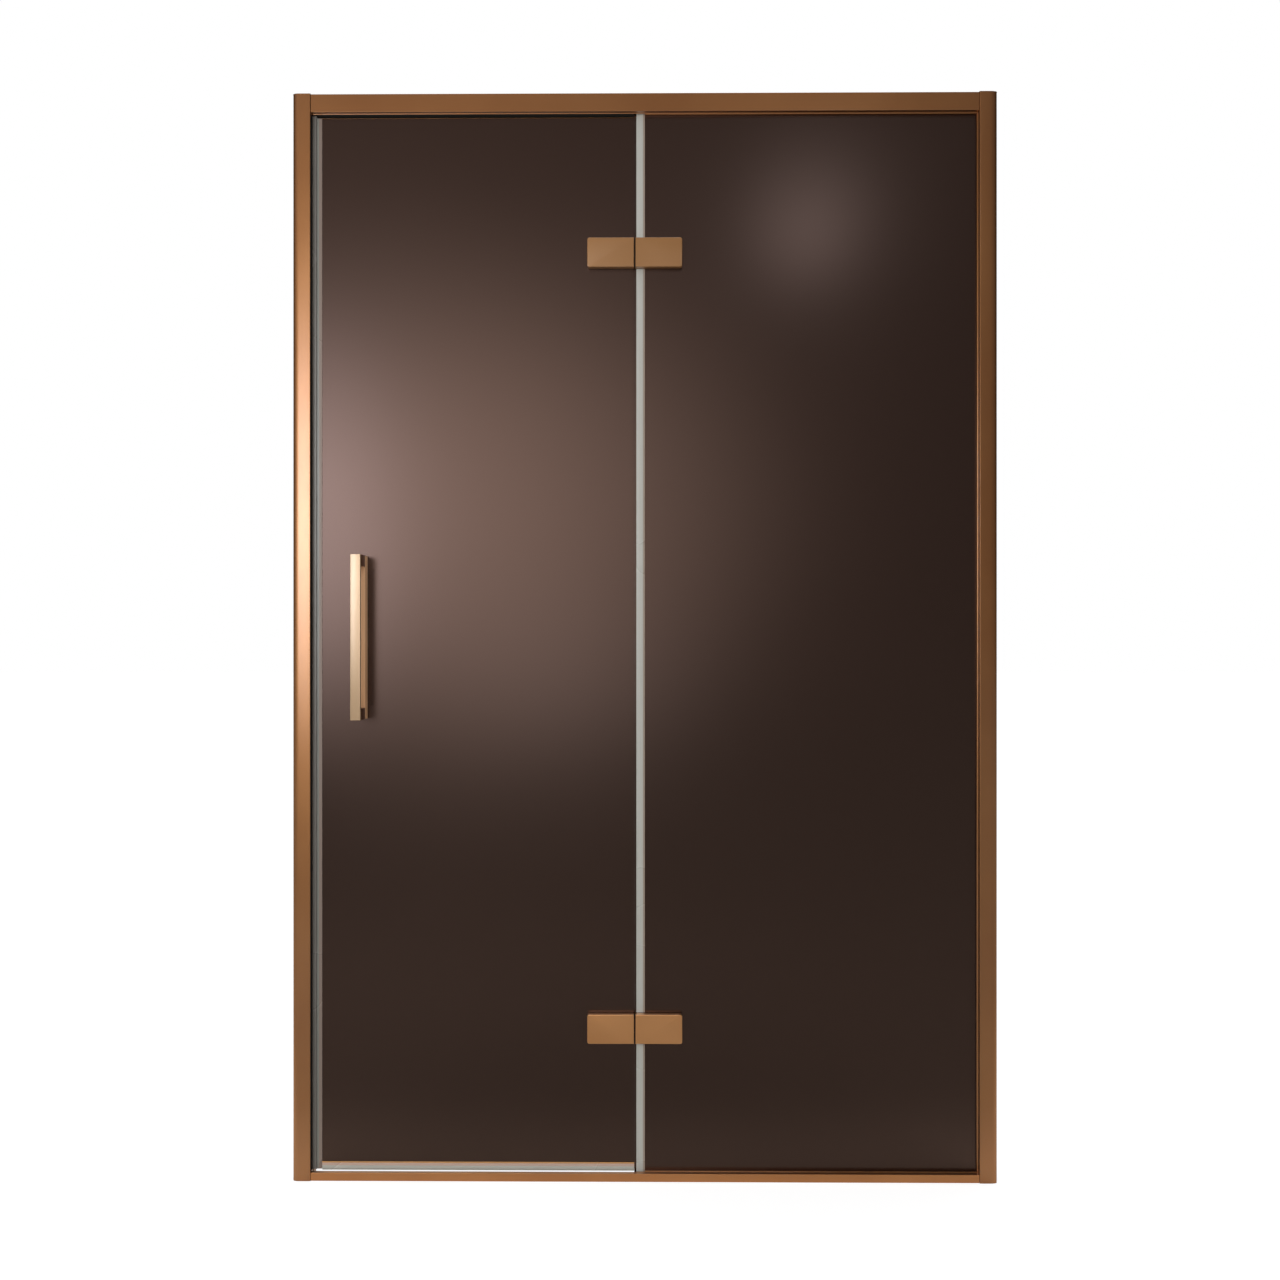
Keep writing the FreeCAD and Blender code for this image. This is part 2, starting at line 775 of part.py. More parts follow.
def hinge_plate_back(level_name, half, way):
    # Back plate with the boss through the glass and its share of the knuckle.
    body = new_body(f"{level_name}_hinge_{half}_back", 0, hinge_face, hinge_levels[level_name])
    near = s.split_line + s.hinge_gap / 2 * way
    far = near + s.hinge_plate * way
    tall = s.hinge_height / 2
    thickness = hinge_face - plate_inner_face
    name = f"{level_name}_{half}_back"
    pad(body, f"{name}_plate", "XZ_Plane", thickness, [rectangle(near, -tall, far, tall)])
    round_edges(
        body,
        f"{name}_corners",
        s.hinge_corner,
        lambda edge: along(edge, Y_WAY) and abs(middle(edge).x - far.number) < 1e-6,
    )
    round_edges(
        body,
        f"{name}_bevel",
        s.hinge_bevel,
        lambda edge: abs(middle(edge).y) < 1e-6,
        "PartDesign::Chamfer",
    )
    edge_x = door_right if half == "door" else fixed_left
    boss_near = edge_x + s.boss_inset * way
    boss_low = boss_near if way > 0 else boss_near - s.boss_length
    boss_reach = plate_inner_face * 2
    solid_in_body(
        body,
        "AdditiveBox",
        f"{name}_boss",
        (boss_low, -thickness - boss_reach, -s.boss_height / 2),
        Length=s.boss_length,
        Width=boss_reach + thickness / 2,
        Height=s.boss_height,
    )
    # Recesses for the two screws that clamp the plates through the notch
    screw_x = boss_near + s.boss_length / 2 * way
    for end, z in (("low", -s.clamp_screw_pitch / 2), ("high", s.clamp_screw_pitch / 2)):
        at = (screw_x, 0, z)
        bore(body, f"{name}_{end}_screw_recess", s.clamp_head_radius, s.clamp_head_depth, at)
    pivot_y = s.pivot_back - hinge_face
    inner_end = s.door_knuckle / 2
    outer_start = inner_end + s.knuckle_gap
    outer_length = tall - outer_start
    centre = [("centre", -inner_end, s.door_knuckle)]
    ends = [("low", -tall, outer_length), ("high", outer_start, outer_length)]
    clear_ends = [
        ("low", -tall - s.pin_head, outer_length + s.knuckle_gap + s.pin_head),
        ("high", inner_end, outer_length + s.knuckle_gap + s.pin_head),
    ]
    clear_centre = [("centre", -outer_start, outer_start * 2)]
    own, other = (centre, clear_ends) if half == "door" else (ends, clear_centre)
    for part_name, z, length in own:
        solid_in_body(
            body,
            "AdditiveCylinder",
            f"{name}_knuckle_{part_name}",
            (s.split_line, pivot_y, z),
            Radius=s.knuckle_radius,
            Height=length,
        )
    for part_name, z, length in other:
        solid_in_body(
            body,
            "SubtractiveCylinder",
            f"{name}_relief_{part_name}",
            (s.split_line, pivot_y, z),
            Radius=s.knuckle_radius + s.knuckle_clearance,
            Height=length,
        )
    solid_in_body(
        body,
        "SubtractiveCylinder",
        f"{name}_pin_hole",
        (s.split_line, pivot_y, -tall - s.pin_head),
        Radius=s.pin_radius + s.pin_clearance,
        Height=s.hinge_height + s.pin_head * 2,
    )
    nodes.append(body)


def hinge_liners(level_name, half, way):
    # Rubber sheets between the plates and the glass.
    level = hinge_levels[level_name]
    edge_x = door_right if half == "door" else fixed_left
    far = s.split_line + (s.hinge_gap / 2 + s.hinge_plate - s.hinge_bevel) * way
    low_x = far if way < 0 else edge_x
    high_x = edge_x if way < 0 else far
    tall = s.hinge_height / 2 - s.hinge_bevel
    inner = half_glass + s.gasket_gap
    outer = inner + s.hinge_liner
    name = f"{level_name}_{half}_liner"
    front = box(f"{name}_front", (low_x, -outer, level - tall), (high_x, -inner, level + tall))
    rear = box(f"{name}_rear", (low_x, inner, level - tall), (high_x, outer, level + tall))
    notch_far = edge_x + s.notch_depth * way
    window = box(
        f"{name}_window",
        (notch_far if way < 0 else edge_x, -outer, level - s.notch_height / 2),
        (edge_x if way < 0 else notch_far, outer, level + s.notch_height / 2),
    )
    pair = together(f"{name}_pair", [front, rear])
    nodes.append(cut(f"{level_name}_hinge_{half}_liners", pair, window))


def hinge_pin(level_name):
    # Pin with a flat head at each end of the knuckle.
    level = hinge_levels[level_name]
    tall = s.hinge_height / 2
    body = new_body(f"{level_name}_hinge_pin", s.split_line, s.pivot_back, level)
    shank = s.hinge_height + s.pin_clearance * 2
    solid_in_body(
        body,
        "AdditiveCylinder",
        f"{level_name}_pin_shank",
        (0, 0, -tall - s.pin_clearance),
        Radius=s.pin_radius,
        Height=shank,
    )
    for end, z in (("low", -tall - s.pin_clearance - s.pin_head), ("high", tall + s.pin_clearance)):
        solid_in_body(
            body,
            "AdditiveCylinder",
            f"{level_name}_pin_{end}_head",
            (0, 0, z),
            Radius=s.knuckle_radius - s.hinge_bevel,
            Height=s.pin_head,
        )
    nodes.append(body)


def handle(side, way):
    # Square bar handle: a base bar on the glass, two feet and the grip bar.
    right = s.handle_left + s.handle_width
    seat = half_glass + s.handle_washer
    base_out = half_glass + s.handle_base
    grip_out = half_glass + s.handle_reach
    grip_in = grip_out - s.handle_grip

    def band(near, far):
        # Two distances from the glass, turned into Y in rising order.
        return (near, far) if way > 0 else (-far, -near)

    low_y, high_y = band(seat, base_out)
    base = new_body(f"{side}_handle_base", 0, high_y, 0)
    outline = [rectangle(s.handle_left, handle_bottom, right, handle_top)]
    pad(base, f"{side}_handle_base_bar", "XZ_Plane", high_y - low_y, outline)
    for end, z in (("low", handle_bottom + s.handle_foot / 2), ("high", handle_top - s.handle_foot / 2)):
        # The socket opens at the glass side of the base bar.
        top_y = low_y - high_y + s.bolt_depth if way > 0 else as_size(0)
        at = (handle_middle, top_y, z)
        bore(base, f"{side}_handle_{end}_socket", s.bolt_radius + s.pin_clearance, s.bolt_depth, at)
    nodes.append(base)

    low_y, high_y = band(base_out, grip_in)
    feet = []
    for end, z in (("low", handle_bottom), ("high", handle_top - s.handle_foot)):
        feet.append(
            box(
                f"{side}_handle_foot_{end}",
                (s.handle_left, low_y, z),
                (right, high_y, z + s.handle_foot),
            )
        )
    nodes.append(together(f"{side}_handle_feet", feet))

    low_y, high_y = band(grip_in, grip_out)
    grip = new_body(f"{side}_handle_grip", 0, high_y, 0)
    pad(grip, f"{side}_handle_grip_bar", "XZ_Plane", high_y - low_y, outline)
    face_y = 0 if way > 0 else (low_y - high_y).number
    round_edges(
        grip,
        f"{side}_handle_bevel",
        s.handle_bevel,
        lambda edge: abs(middle(edge).y - face_y) < 1e-6,
        "PartDesign::Chamfer",
    )
    nodes.append(grip)


def handle_bolts():
    # Two bolts through the leaf, one at each foot.
    items = []
    reach = half_glass + s.handle_washer + s.bolt_depth - s.pin_clearance
    for end, z in (("low", handle_bottom + s.handle_foot / 2), ("high", handle_top - s.handle_foot / 2)):
        item = doc.addObject("Part::Cylinder", f"handle_bolt_{end}")
        bind(item, "Radius", s.bolt_radius)
        bind(item, "Height", reach * 2)
        item.Placement = FreeCAD.Placement(FreeCAD.Vector(0, 0, 0), FreeCAD.Rotation(X_WAY, 90))
        place(item, handle_middle, reach, z)
        items.append(item)
    nodes.append(together("handle_bolts", items))


for side in ("left", "right"):
    wall_channel(side)
    jamb(side)
    jamb_cap(side)

top_rail()
bottom_rail()
pane_channel()
infill_strip()
strike_seal()

# Fixed pane and what holds it
pane("fixed_glass", fixed_left, fixed_right, fixed_bottom, fixed_top, fixed_left, 1)
setting_blocks()
gasket_left = fixed_left + s.centre_leg + s.seal_clearance
gasket_pair("top_gaskets", gasket_left, rail_right, lip_bottom - s.gasket_proud, fixed_top)
gasket_pair(
    "bottom_gaskets",
    gasket_left,
    rail_right,
    fixed_bottom,
    s.threshold_height + s.gasket_proud,
)
gasket_pair(
    "jamb_gaskets",
    s.overall_width - s.jamb_face - s.gasket_proud,
    fixed_right,
    s.threshold_height + s.gasket_proud + s.seal_clearance,
    lip_bottom - s.gasket_proud - s.seal_clearance,
)

# Door leaf
bolt_levels = (handle_bottom + s.handle_foot / 2, handle_top - s.handle_foot / 2)
leaf_holes = [(handle_middle, level, s.glass_hole_radius) for level in bolt_levels]
pane("door_glass", door_left, door_right, s.door_glass_bottom, door_top, door_right, -1, leaf_holes)
door_strike_seal()
door_bottom_seal()

# Clear seal between the panes, interrupted at the hinges
half_height = s.hinge_height / 2 + s.seal_clearance
centre_seal("lower", fixed_bottom, hinge_levels["lower"] - half_height)
centre_seal("middle", hinge_levels["lower"] + half_height, hinge_levels["upper"] - half_height)
centre_seal("upper", hinge_levels["upper"] + half_height, fixed_top)

# Hinges
for level_name in hinge_levels:
    for half, way in (("door", -1), ("fixed", 1)):
        hinge_plate_front(level_name, half, way)
        hinge_plate_back(level_name, half, way)
        hinge_liners(level_name, half, way)
    hinge_pin(level_name)

# Handles, one each side of the leaf
handle("outer", -1)
handle("inner", 1)
handle_bolts()

doc.recompute()

# Every object has to be sound before anything is written
for item in doc.Objects:
    if "Invalid" in item.State or "Error" in item.State:
        raise RuntimeError(f"{item.Label} failed: {item.State}")
for node in nodes:
    if node.Shape.isNull() or not node.Shape.isValid() or not node.Shape.Solids:
        raise RuntimeError(f"{node.Label} has no sound shape")

for node in nodes:
    node.Shape.exportStep(f"parts/{node.Label}.step")
    print(f"{node.Label}: {len(node.Shape.Solids)} solid, {node.Shape.Volume / 1000:.1f} cm3")
print(f"{len(nodes)} nodes")
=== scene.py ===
# Framed shower door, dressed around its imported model. Metres, +X right, +Y into the shower, +Z up.
import json
import math

import bmesh
import bpy
import numpy as np
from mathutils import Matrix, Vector

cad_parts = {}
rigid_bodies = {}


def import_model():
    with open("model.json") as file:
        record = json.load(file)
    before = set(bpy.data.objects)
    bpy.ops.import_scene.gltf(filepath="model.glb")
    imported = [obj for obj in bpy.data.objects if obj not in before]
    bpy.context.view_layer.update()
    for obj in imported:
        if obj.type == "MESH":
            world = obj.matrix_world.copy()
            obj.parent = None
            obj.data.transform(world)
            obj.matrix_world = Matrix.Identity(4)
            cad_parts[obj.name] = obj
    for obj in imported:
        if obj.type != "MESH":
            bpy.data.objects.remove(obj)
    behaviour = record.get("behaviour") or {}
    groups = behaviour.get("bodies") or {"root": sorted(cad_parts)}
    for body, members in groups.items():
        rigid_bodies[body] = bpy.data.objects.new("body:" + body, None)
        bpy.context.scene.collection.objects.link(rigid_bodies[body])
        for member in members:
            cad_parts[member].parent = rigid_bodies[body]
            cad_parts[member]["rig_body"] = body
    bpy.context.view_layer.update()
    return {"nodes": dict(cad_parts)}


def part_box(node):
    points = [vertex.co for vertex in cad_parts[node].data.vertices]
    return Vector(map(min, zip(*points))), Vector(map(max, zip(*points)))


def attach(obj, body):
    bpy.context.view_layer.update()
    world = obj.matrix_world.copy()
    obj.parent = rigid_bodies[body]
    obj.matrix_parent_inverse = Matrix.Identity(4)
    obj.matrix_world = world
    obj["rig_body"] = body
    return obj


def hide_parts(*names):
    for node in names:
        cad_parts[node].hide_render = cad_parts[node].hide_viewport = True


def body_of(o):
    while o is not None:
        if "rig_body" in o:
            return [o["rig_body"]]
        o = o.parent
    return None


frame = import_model()
nodes = frame["nodes"]
mm = 0.001
sharpAngle = math.radians(40)    # faces that meet at more than this keep a sharp edge


def corners(node):
    low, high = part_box(node)
    return np.array(low), np.array(high)


leafLow, leafHigh = corners("door_glass")
paneLow, paneHigh = corners("fixed_glass")


# Shapes

def roundCorners(outline, radius, steps=4, share=0.45):
    # Each corner p of a closed outline becomes the curve (1-t)^2 a + 2t(1-t) p + t^2 b,
    # where a and b lie on its two edges at the radius, or at that share of a shorter edge.
    p = np.asarray(outline, float)
    before, after = np.roll(p, 1, 0) - p, np.roll(p, -1, 0) - p
    edgeBefore = np.linalg.norm(before, axis=1, keepdims=True)
    edgeAfter = np.linalg.norm(after, axis=1, keepdims=True)
    cut = np.minimum(radius, share * np.minimum(edgeBefore, edgeAfter))
    a = p + before / edgeBefore * cut
    b = p + after / edgeAfter * cut
    t = np.linspace(0, 1, steps)[None, :, None]
    curve = (1 - t) ** 2 * a[:, None] + 2 * t * (1 - t) * p[:, None] + t ** 2 * b[:, None]
    return curve.reshape(-1, 2)


def gridQuads(rows, columns):
    # Faces of a grid whose columns close on themselves.
    r, c = np.meshgrid(np.arange(rows - 1), np.arange(columns), indexing="ij")
    near, far = (c + 1) % columns, c
    quads = np.stack([r * columns + far, r * columns + near,
                      (r + 1) * columns + near, (r + 1) * columns + far], -1)
    return quads.reshape(-1, 4)


def joined(shapes):
    # The points and faces of several shapes as those of one.
    points, faces, first = [], [], 0
    for shapePoints, shapeFaces in shapes:
        points.append(shapePoints)
        faces += [face + first for face in shapeFaces]
        first += len(shapePoints)
    return np.vstack(points), faces


def sweptOutline(outline, axis, ends):
    # The outline is carried straight along X or Z between two ends, with an n-gon cap at both.
    # For X it is given as (Y, Z), for Z as (X, Y).
    outline = np.asarray(outline, float)
    n = len(outline)
    along = np.repeat(ends, n)[:, None]
    ring = np.tile(outline, (2, 1))
    points = np.hstack([along, ring] if axis == "X" else [ring, along])
    x, y = outline.T
    turn = np.sum(x * np.roll(y, -1) - np.roll(x, -1) * y)
    quads, first, last = gridQuads(2, n), np.arange(n), np.arange(n) + n
    if turn > 0:
        return points, list(quads) + [first[::-1], last]
    return points, list(quads[:, ::-1]) + [first, last[::-1]]


def roundedBox(low, high, radius, lines=5):
    # Points p on the six faces of a box are drawn to q + r (p - q) / |p - q|,
    # where q is p held inside the box that is smaller by the radius r on every side.
    low, high = np.asarray(low, float), np.asarray(high, float)
    bend = radius * (1 - np.cos(np.linspace(0, math.pi / 2, lines)))
    sides = []
    for axis in range(3):
        u, v = (axis + 1) % 3, (axis + 2) % 3
        rowsU = np.concatenate([low[u] + bend, high[u] - bend[::-1]])
        rowsV = np.concatenate([low[v] + bend, high[v] - bend[::-1]])
        gridU, gridV = np.meshgrid(rowsU, rowsV, indexing="ij")
        m, n = gridU.shape
        r, c = np.meshgrid(np.arange(m - 1), np.arange(n - 1), indexing="ij")
        quads = np.stack([r * n + c, (r + 1) * n + c, (r + 1) * n + c + 1, r * n + c + 1], -1)
        quads = quads.reshape(-1, 4)
        for level, turned in ((low[axis], quads[:, ::-1]), (high[axis], quads)):
            side = np.zeros((m * n, 3))
            side[:, axis], side[:, u], side[:, v] = level, gridU.ravel(), gridV.ravel()
            sides.append((side, turned))
    p, faces = joined(sides)
    q = np.clip(p, low + radius, high - radius)
    away = p - q
    p = q + radius * away / np.maximum(np.linalg.norm(away, axis=1, keepdims=True), 1e-12)
    _, keep, same = np.unique(np.round(p, 8), axis=0, return_index=True, return_inverse=True)
    return p[keep], same.ravel()[np.vstack(faces)]


def addPiece(name, mesh, material, body, smooth=True):
    mesh.materials.append(material)
    mesh.polygons.foreach_set("use_smooth", np.full(len(mesh.polygons), smooth))
    if smooth:
        mesh.set_sharp_from_angle(angle=sharpAngle)
    piece = bpy.data.objects.new(name, mesh)
    bpy.context.scene.collection.objects.link(piece)
    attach(piece, body)
    return piece


def makePiece(name, shape, material, body, replaced=None, smooth=True):
    # A piece from points and faces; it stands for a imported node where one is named.
    points, faces = shape
    mesh = bpy.data.meshes.new(name)
    mesh.from_pydata(points.tolist(), [], [list(map(int, face)) for face in faces])
    mesh.validate()
    mesh.update()
    piece = addPiece(name, mesh, material, body, smooth)
    if replaced:
        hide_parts(replaced)


# Short ways to build node trees

def feed(tree, value, socket):
    # Another node's output is linked to the socket, and a plain value is set on it.
    if isinstance(value, bpy.types.NodeSocket):
        tree.links.new(value, socket)
    else:
        socket.default_value = value


def ramp(tree, value, fromSpan, toSpan=(0, 1), smooth=False):
    # A value carried from one span to another and held at its ends.
    node = tree.nodes.new("ShaderNodeMapRange")
    if smooth:
        node.interpolation_type = "SMOOTHSTEP"
    for name, given in zip(("From Min", "From Max", "To Min", "To Max"), (*fromSpan, *toSpan)):
        feed(tree, given, node.inputs[name])
    feed(tree, value, node.inputs["Value"])
    return node.outputs["Result"]


def combine(tree, operation, first, second):
    node = tree.nodes.new("ShaderNodeMath")
    node.operation = operation
    feed(tree, first, node.inputs[0])
    feed(tree, second, node.inputs[1])
    return node.outputs[0]


def mixColours(tree, factor, first, second):
    # From the first colour to the second; each is three numbers or another node's output.
    node = tree.nodes.new("ShaderNodeMix")
    node.data_type = "RGBA"
    feed(tree, factor, node.inputs["Factor"])
    for name, colour in (("A", first), ("B", second)):
        feed(tree, (*colour, 1) if isinstance(colour, tuple) else colour, node.inputs[name])
    return node.outputs["Result"]


def noise(tree, vector, scale, detail):
    node = tree.nodes.new("ShaderNodeTexNoise")
    feed(tree, vector, node.inputs["Vector"])
    feed(tree, scale, node.inputs["Scale"])
    feed(tree, detail, node.inputs["Detail"])
    return node.outputs["Fac"]


def splitAxes(tree, vector):
    node = tree.nodes.new("ShaderNodeSeparateXYZ")
    feed(tree, vector, node.inputs[0])
    return node.outputs


# Shader groups that the finishes place with their own values

def newGroup(name, inputs, outputs):
    group = bpy.data.node_groups.new(name, "ShaderNodeTree")
    for socketName, kind, value in inputs:
        socket = group.interface.new_socket(socketName, in_out="INPUT", socket_type=kind)
        if value is not None:
            socket.default_value = value
    for socketName, kind in outputs:
        group.interface.new_socket(socketName, in_out="OUTPUT", socket_type=kind)
    given, result = group.nodes.new("NodeGroupInput"), group.nodes.new("NodeGroupOutput")
    return group, given.outputs, result.inputs


noiseDetail = {"lines": 3, "clouds": 2, "dust": 4}
dustShape = {"upward": (0.6, 1.0), "patches": 60}    # the normal's Z that dust settles on


def satinGrainGroup():
    # Fine lines along the drawn length of a profile, and soft cloudy changes.
    group, given, result = newGroup("satinGrain", [
        ("Vector", "NodeSocketVector", None),
        ("Stretch", "NodeSocketVector", (1, 1, 0.02)),
        ("Lines", "NodeSocketFloat", 1200.0),
        ("Clouds", "NodeSocketFloat", 6.0),
    ], [("Grain", "NodeSocketFloat"), ("Cloud", "NodeSocketFloat")])
    stretched = group.nodes.new("ShaderNodeVectorMath")
    stretched.operation = "MULTIPLY"
    feed(group, given["Vector"], stretched.inputs[0])
    feed(group, given["Stretch"], stretched.inputs[1])
    lines = noise(group, stretched.outputs[0], given["Lines"], noiseDetail["lines"])
    clouds = noise(group, given["Vector"], given["Clouds"], noiseDetail["clouds"])
    feed(group, lines, result["Grain"])
    feed(group, clouds, result["Cloud"])
    return group


def settledDustGroup():
    # A thin pale film on faces that look up, thicker in patches.
    group, given, result = newGroup("settledDust", [
        ("Vector", "NodeSocketVector", None),
        ("Colour", "NodeSocketColor", (0.5, 0.5, 0.5, 1)),
        ("Dust", "NodeSocketColor", (0.6, 0.57, 0.53, 1)),
        ("Amount", "NodeSocketFloat", 0.1),
    ], [("Colour", "NodeSocketColor")])
    normal = group.nodes.new("ShaderNodeNewGeometry").outputs["Normal"]
    upward = ramp(group, splitAxes(group, normal)["Z"], dustShape["upward"])
    patches = noise(group, given["Vector"], dustShape["patches"], noiseDetail["dust"])
    film = combine(group, "MULTIPLY", upward, patches)
    scaled = combine(group, "MULTIPLY", film, given["Amount"])
    feed(group, mixColours(group, scaled, given["Colour"], given["Dust"]), result["Colour"])
    return group


def softSpecksGroup():
    # Round specks that fade outwards, for moulded rubber.
    group, given, result = newGroup("softSpecks", [
        ("Vector", "NodeSocketVector", None),
        ("Scale", "NodeSocketFloat", 400.0),
        ("Size", "NodeSocketFloat", 0.2),
    ], [("Specks", "NodeSocketFloat")])
    cells = group.nodes.new("ShaderNodeTexVoronoi")
    feed(group, given["Vector"], cells.inputs["Vector"])
    feed(group, given["Scale"], cells.inputs["Scale"])
    specks = ramp(group, cells.outputs["Distance"], (0, given["Size"]), (1, 0))
    feed(group, specks, result["Specks"])
    return group


satinGrain = satinGrainGroup()
settledDust = settledDustGroup()
softSpecks = softSpecksGroup()
print("shader groups ready")

# Finishes

noiseSpan = (0.35, 0.65)    # the middle part of a noise, which is spread over a value's range
alongX, alongZ, evenly = (0.02, 1, 1), (1, 1, 0.02), (1, 1, 1)    # stretch of the grain


class Finish:
    # A material with its main shader and short ways to add to it.
    def __init__(self, name):
        self.material = bpy.data.materials.new(name)
        self.material.use_nodes = True
        self.tree = self.material.node_tree
        self.shader = self.tree.nodes["Principled BSDF"]
        self.place = self.tree.nodes.new("ShaderNodeTexCoord").outputs["Object"]

    def group(self, group, **values):
        node = self.tree.nodes.new("ShaderNodeGroup")
        node.node_tree = group
        for name, value in {"Vector": self.place, **values}.items():
            feed(self.tree, value, node.inputs[name])
        return node.outputs

    def spread(self, output, span=(0, 1), fromSpan=noiseSpan):
        return ramp(self.tree, output, fromSpan, span)

    def blend(self, factor, first, second):
        return mixColours(self.tree, factor, first, second)

    def bump(self, height, depth, strength):
        node = self.tree.nodes.new("ShaderNodeBump")
        node.inputs["Distance"].default_value = depth
        node.inputs["Strength"].default_value = strength
        feed(self.tree, height, node.inputs["Height"])
        feed(self.tree, node.outputs["Normal"], self.shader.inputs["Normal"])

    def set(self, **values):
        for name, value in values.items():
            feed(self.tree, value, self.shader.inputs[name.replace("_", " ")])


copperTone = {
    "dust": (0.55, 0.47, 0.40, 1), "dustAmount": 0.25,
    "lines": 2200.0, "clouds": 5.0, "rough": (0.31, 0.39),
    "grainDepth": 0.04 * mm, "grainStrength": 0.25,
    "coatRoughness": 0.17, "coatIndex": 1.75,
}
# The shades other than the profiles' follow the photograph's light on those pieces
copperShades = {
    "profile": {"deep": (0.405, 0.168, 0.046), "bright": (0.455, 0.200, 0.060)},
    # Painted light and shade: the threshold, lower hinge, grip and handle base are lighter copies of
    # the copper and the upper hinge a darker one, standing in for the light that falls on them
    "threshold": {"deep": (0.58725, 0.2436, 0.0667), "bright": (0.65975, 0.290, 0.087)},
    "upperHinge": {"deep": (0.34, 0.157, 0.044), "bright": (0.374, 0.176, 0.050),
                   "metal": 0.3, "coat": 0.8},
    "lowerHinge": {"deep": (0.76, 0.37, 0.132), "bright": (0.83, 0.415, 0.155)},
    "grip": {"deep": (0.54, 0.375, 0.225), "bright": (0.60, 0.425, 0.26),
             "metal": 0.45, "coat": 0.6},
    "handleBase": {"deep": (0.86, 0.50, 0.27), "bright": (0.92, 0.55, 0.31),
                   "metal": 0.0, "coat": 0.2},
}


def satinCopper(name, stretch, deep, bright, metal=1.0, coat=1.0):
    # Matt bead-blasted and anodised copper tone; the grain follows the drawn length.
    finish = Finish(name)
    grain = finish.group(satinGrain, Stretch=stretch, Lines=copperTone["lines"],
                         Clouds=copperTone["clouds"])
    colour = finish.blend(finish.spread(grain["Cloud"]), deep, bright)
    dusty = finish.group(settledDust, Colour=colour, Dust=copperTone["dust"],
                         Amount=copperTone["dustAmount"])
    finish.set(Base_Color=dusty["Colour"], Metallic=metal,
               Roughness=finish.spread(grain["Grain"], copperTone["rough"]),
               Coat_Weight=coat, Coat_IOR=copperTone["coatIndex"],
               Coat_Roughness=copperTone["coatRoughness"])
    finish.bump(grain["Grain"], copperTone["grainDepth"], copperTone["grainStrength"])
    return finish.material


glassTone = {
    "tint": (0.0060, 0.0036, 0.0030), "specularTint": (1.0, 0.68, 0.59),
    "rough": (0.24, 0.26), "clouds": 2.0, "index": 1.8,
}


def bronzeGlass(name):
    # Dark body-tinted glass with a softly etched face: lamps spread into broad glows.
    finish = Finish(name)
    clouds = finish.group(satinGrain, Clouds=glassTone["clouds"])
    finish.set(Base_Color=(*glassTone["tint"], 1), Transmission_Weight=1.0,
               Roughness=finish.spread(clouds["Cloud"], glassTone["rough"]),
               IOR=glassTone["index"], Specular_Tint=(*glassTone["specularTint"], 1))
    return finish.material


sealTone = {
    "streaks": 700.0, "streakSpan": (0.2, 0.8), "clouds": 4.0, "rough": (0.25, 0.33),
    "transmission": 0.20, "index": 1.53, "grainDepth": 0.03 * mm, "grainStrength": 0.1,
    "edge": 0.4 * mm,    # how softly the tone changes where the vinyl passes over the glass
}
# The painted tone over the glass starts past a place on one axis: (axis, place, tone); it stands in
# for the bronze glass seen through the vinyl
sealShades = {
    "centre": {"shade": (0.60, 0.615, 0.58), "light": (0.68, 0.695, 0.66),
               "overGlass": ("X", paneLow[0] + 8.5 * mm, (0.46, 0.38, 0.32))},
    "bottom": {"shade": (0.62, 0.64, 0.585), "light": (0.68, 0.70, 0.64),
               "overGlass": ("Z", leafLow[2] + 1.2 * mm, (0.72, 0.54, 0.46))},
    # Painted shade: the strike vinyl is a darker copy of the clear vinyl, standing in for the dark
    # glass seen through it
    "strike": {"shade": (0.250, 0.262, 0.238), "light": (0.285, 0.300, 0.272),
               "overGlass": ("X", leafLow[0] + 0.4 * mm, (0.315, 0.245, 0.212))},
    "magnet": {"shade": (0.192, 0.184, 0.172), "light": (0.238, 0.230, 0.216)},
    # Painted highlight: a copper tone on the bottom seal's top edges, the bronze glass's colour
    # caught in the vinyl
    "paintedHighlightEdge": {"shade": (0.68, 0.34, 0.12), "light": (0.80, 0.44, 0.17)},
}


def softVinyl(name, stretch, shade, light, overGlass=None):
    # Milky vinyl with fine drawn streaks, which may take a painted tone over the glass, standing in
    # for the glass seen through it.
    finish = Finish(name)
    grain = finish.group(satinGrain, Stretch=stretch, Lines=sealTone["streaks"],
                         Clouds=sealTone["clouds"])
    streaks = finish.spread(grain["Grain"], fromSpan=sealTone["streakSpan"])
    colour = finish.blend(streaks, shade, light)
    if overGlass:
        axis, place, tone = overGlass
        passed = finish.spread(splitAxes(finish.tree, finish.place)[axis],
                               fromSpan=(place - sealTone["edge"], place + sealTone["edge"]))
        colour = finish.blend(passed, colour, tone)
    finish.set(Base_Color=colour, Roughness=finish.spread(grain["Cloud"], sealTone["rough"]),
               Transmission_Weight=sealTone["transmission"], IOR=sealTone["index"])
    finish.bump(grain["Grain"], sealTone["grainDepth"], sealTone["grainStrength"])
    return finish.material


rubberTone = {
    "low": (0.010, 0.009, 0.008), "high": (0.026, 0.023, 0.021), "rough": (0.55, 0.67),
    "specular": 0.12, "specks": 900.0, "speckSize": 0.5, "depth": 0.05 * mm, "strength": 0.3,
}


def blackRubber(name):
    finish = Finish(name)
    specks = finish.group(softSpecks, Scale=rubberTone["specks"],
                          Size=rubberTone["speckSize"])["Specks"]
    finish.set(Base_Color=finish.blend(specks, rubberTone["low"], rubberTone["high"]),
               Roughness=finish.spread(specks, rubberTone["rough"], (0, 1)),
               Specular_IOR_Level=rubberTone["specular"])
    finish.bump(specks, rubberTone["depth"], rubberTone["strength"])
    return finish.material


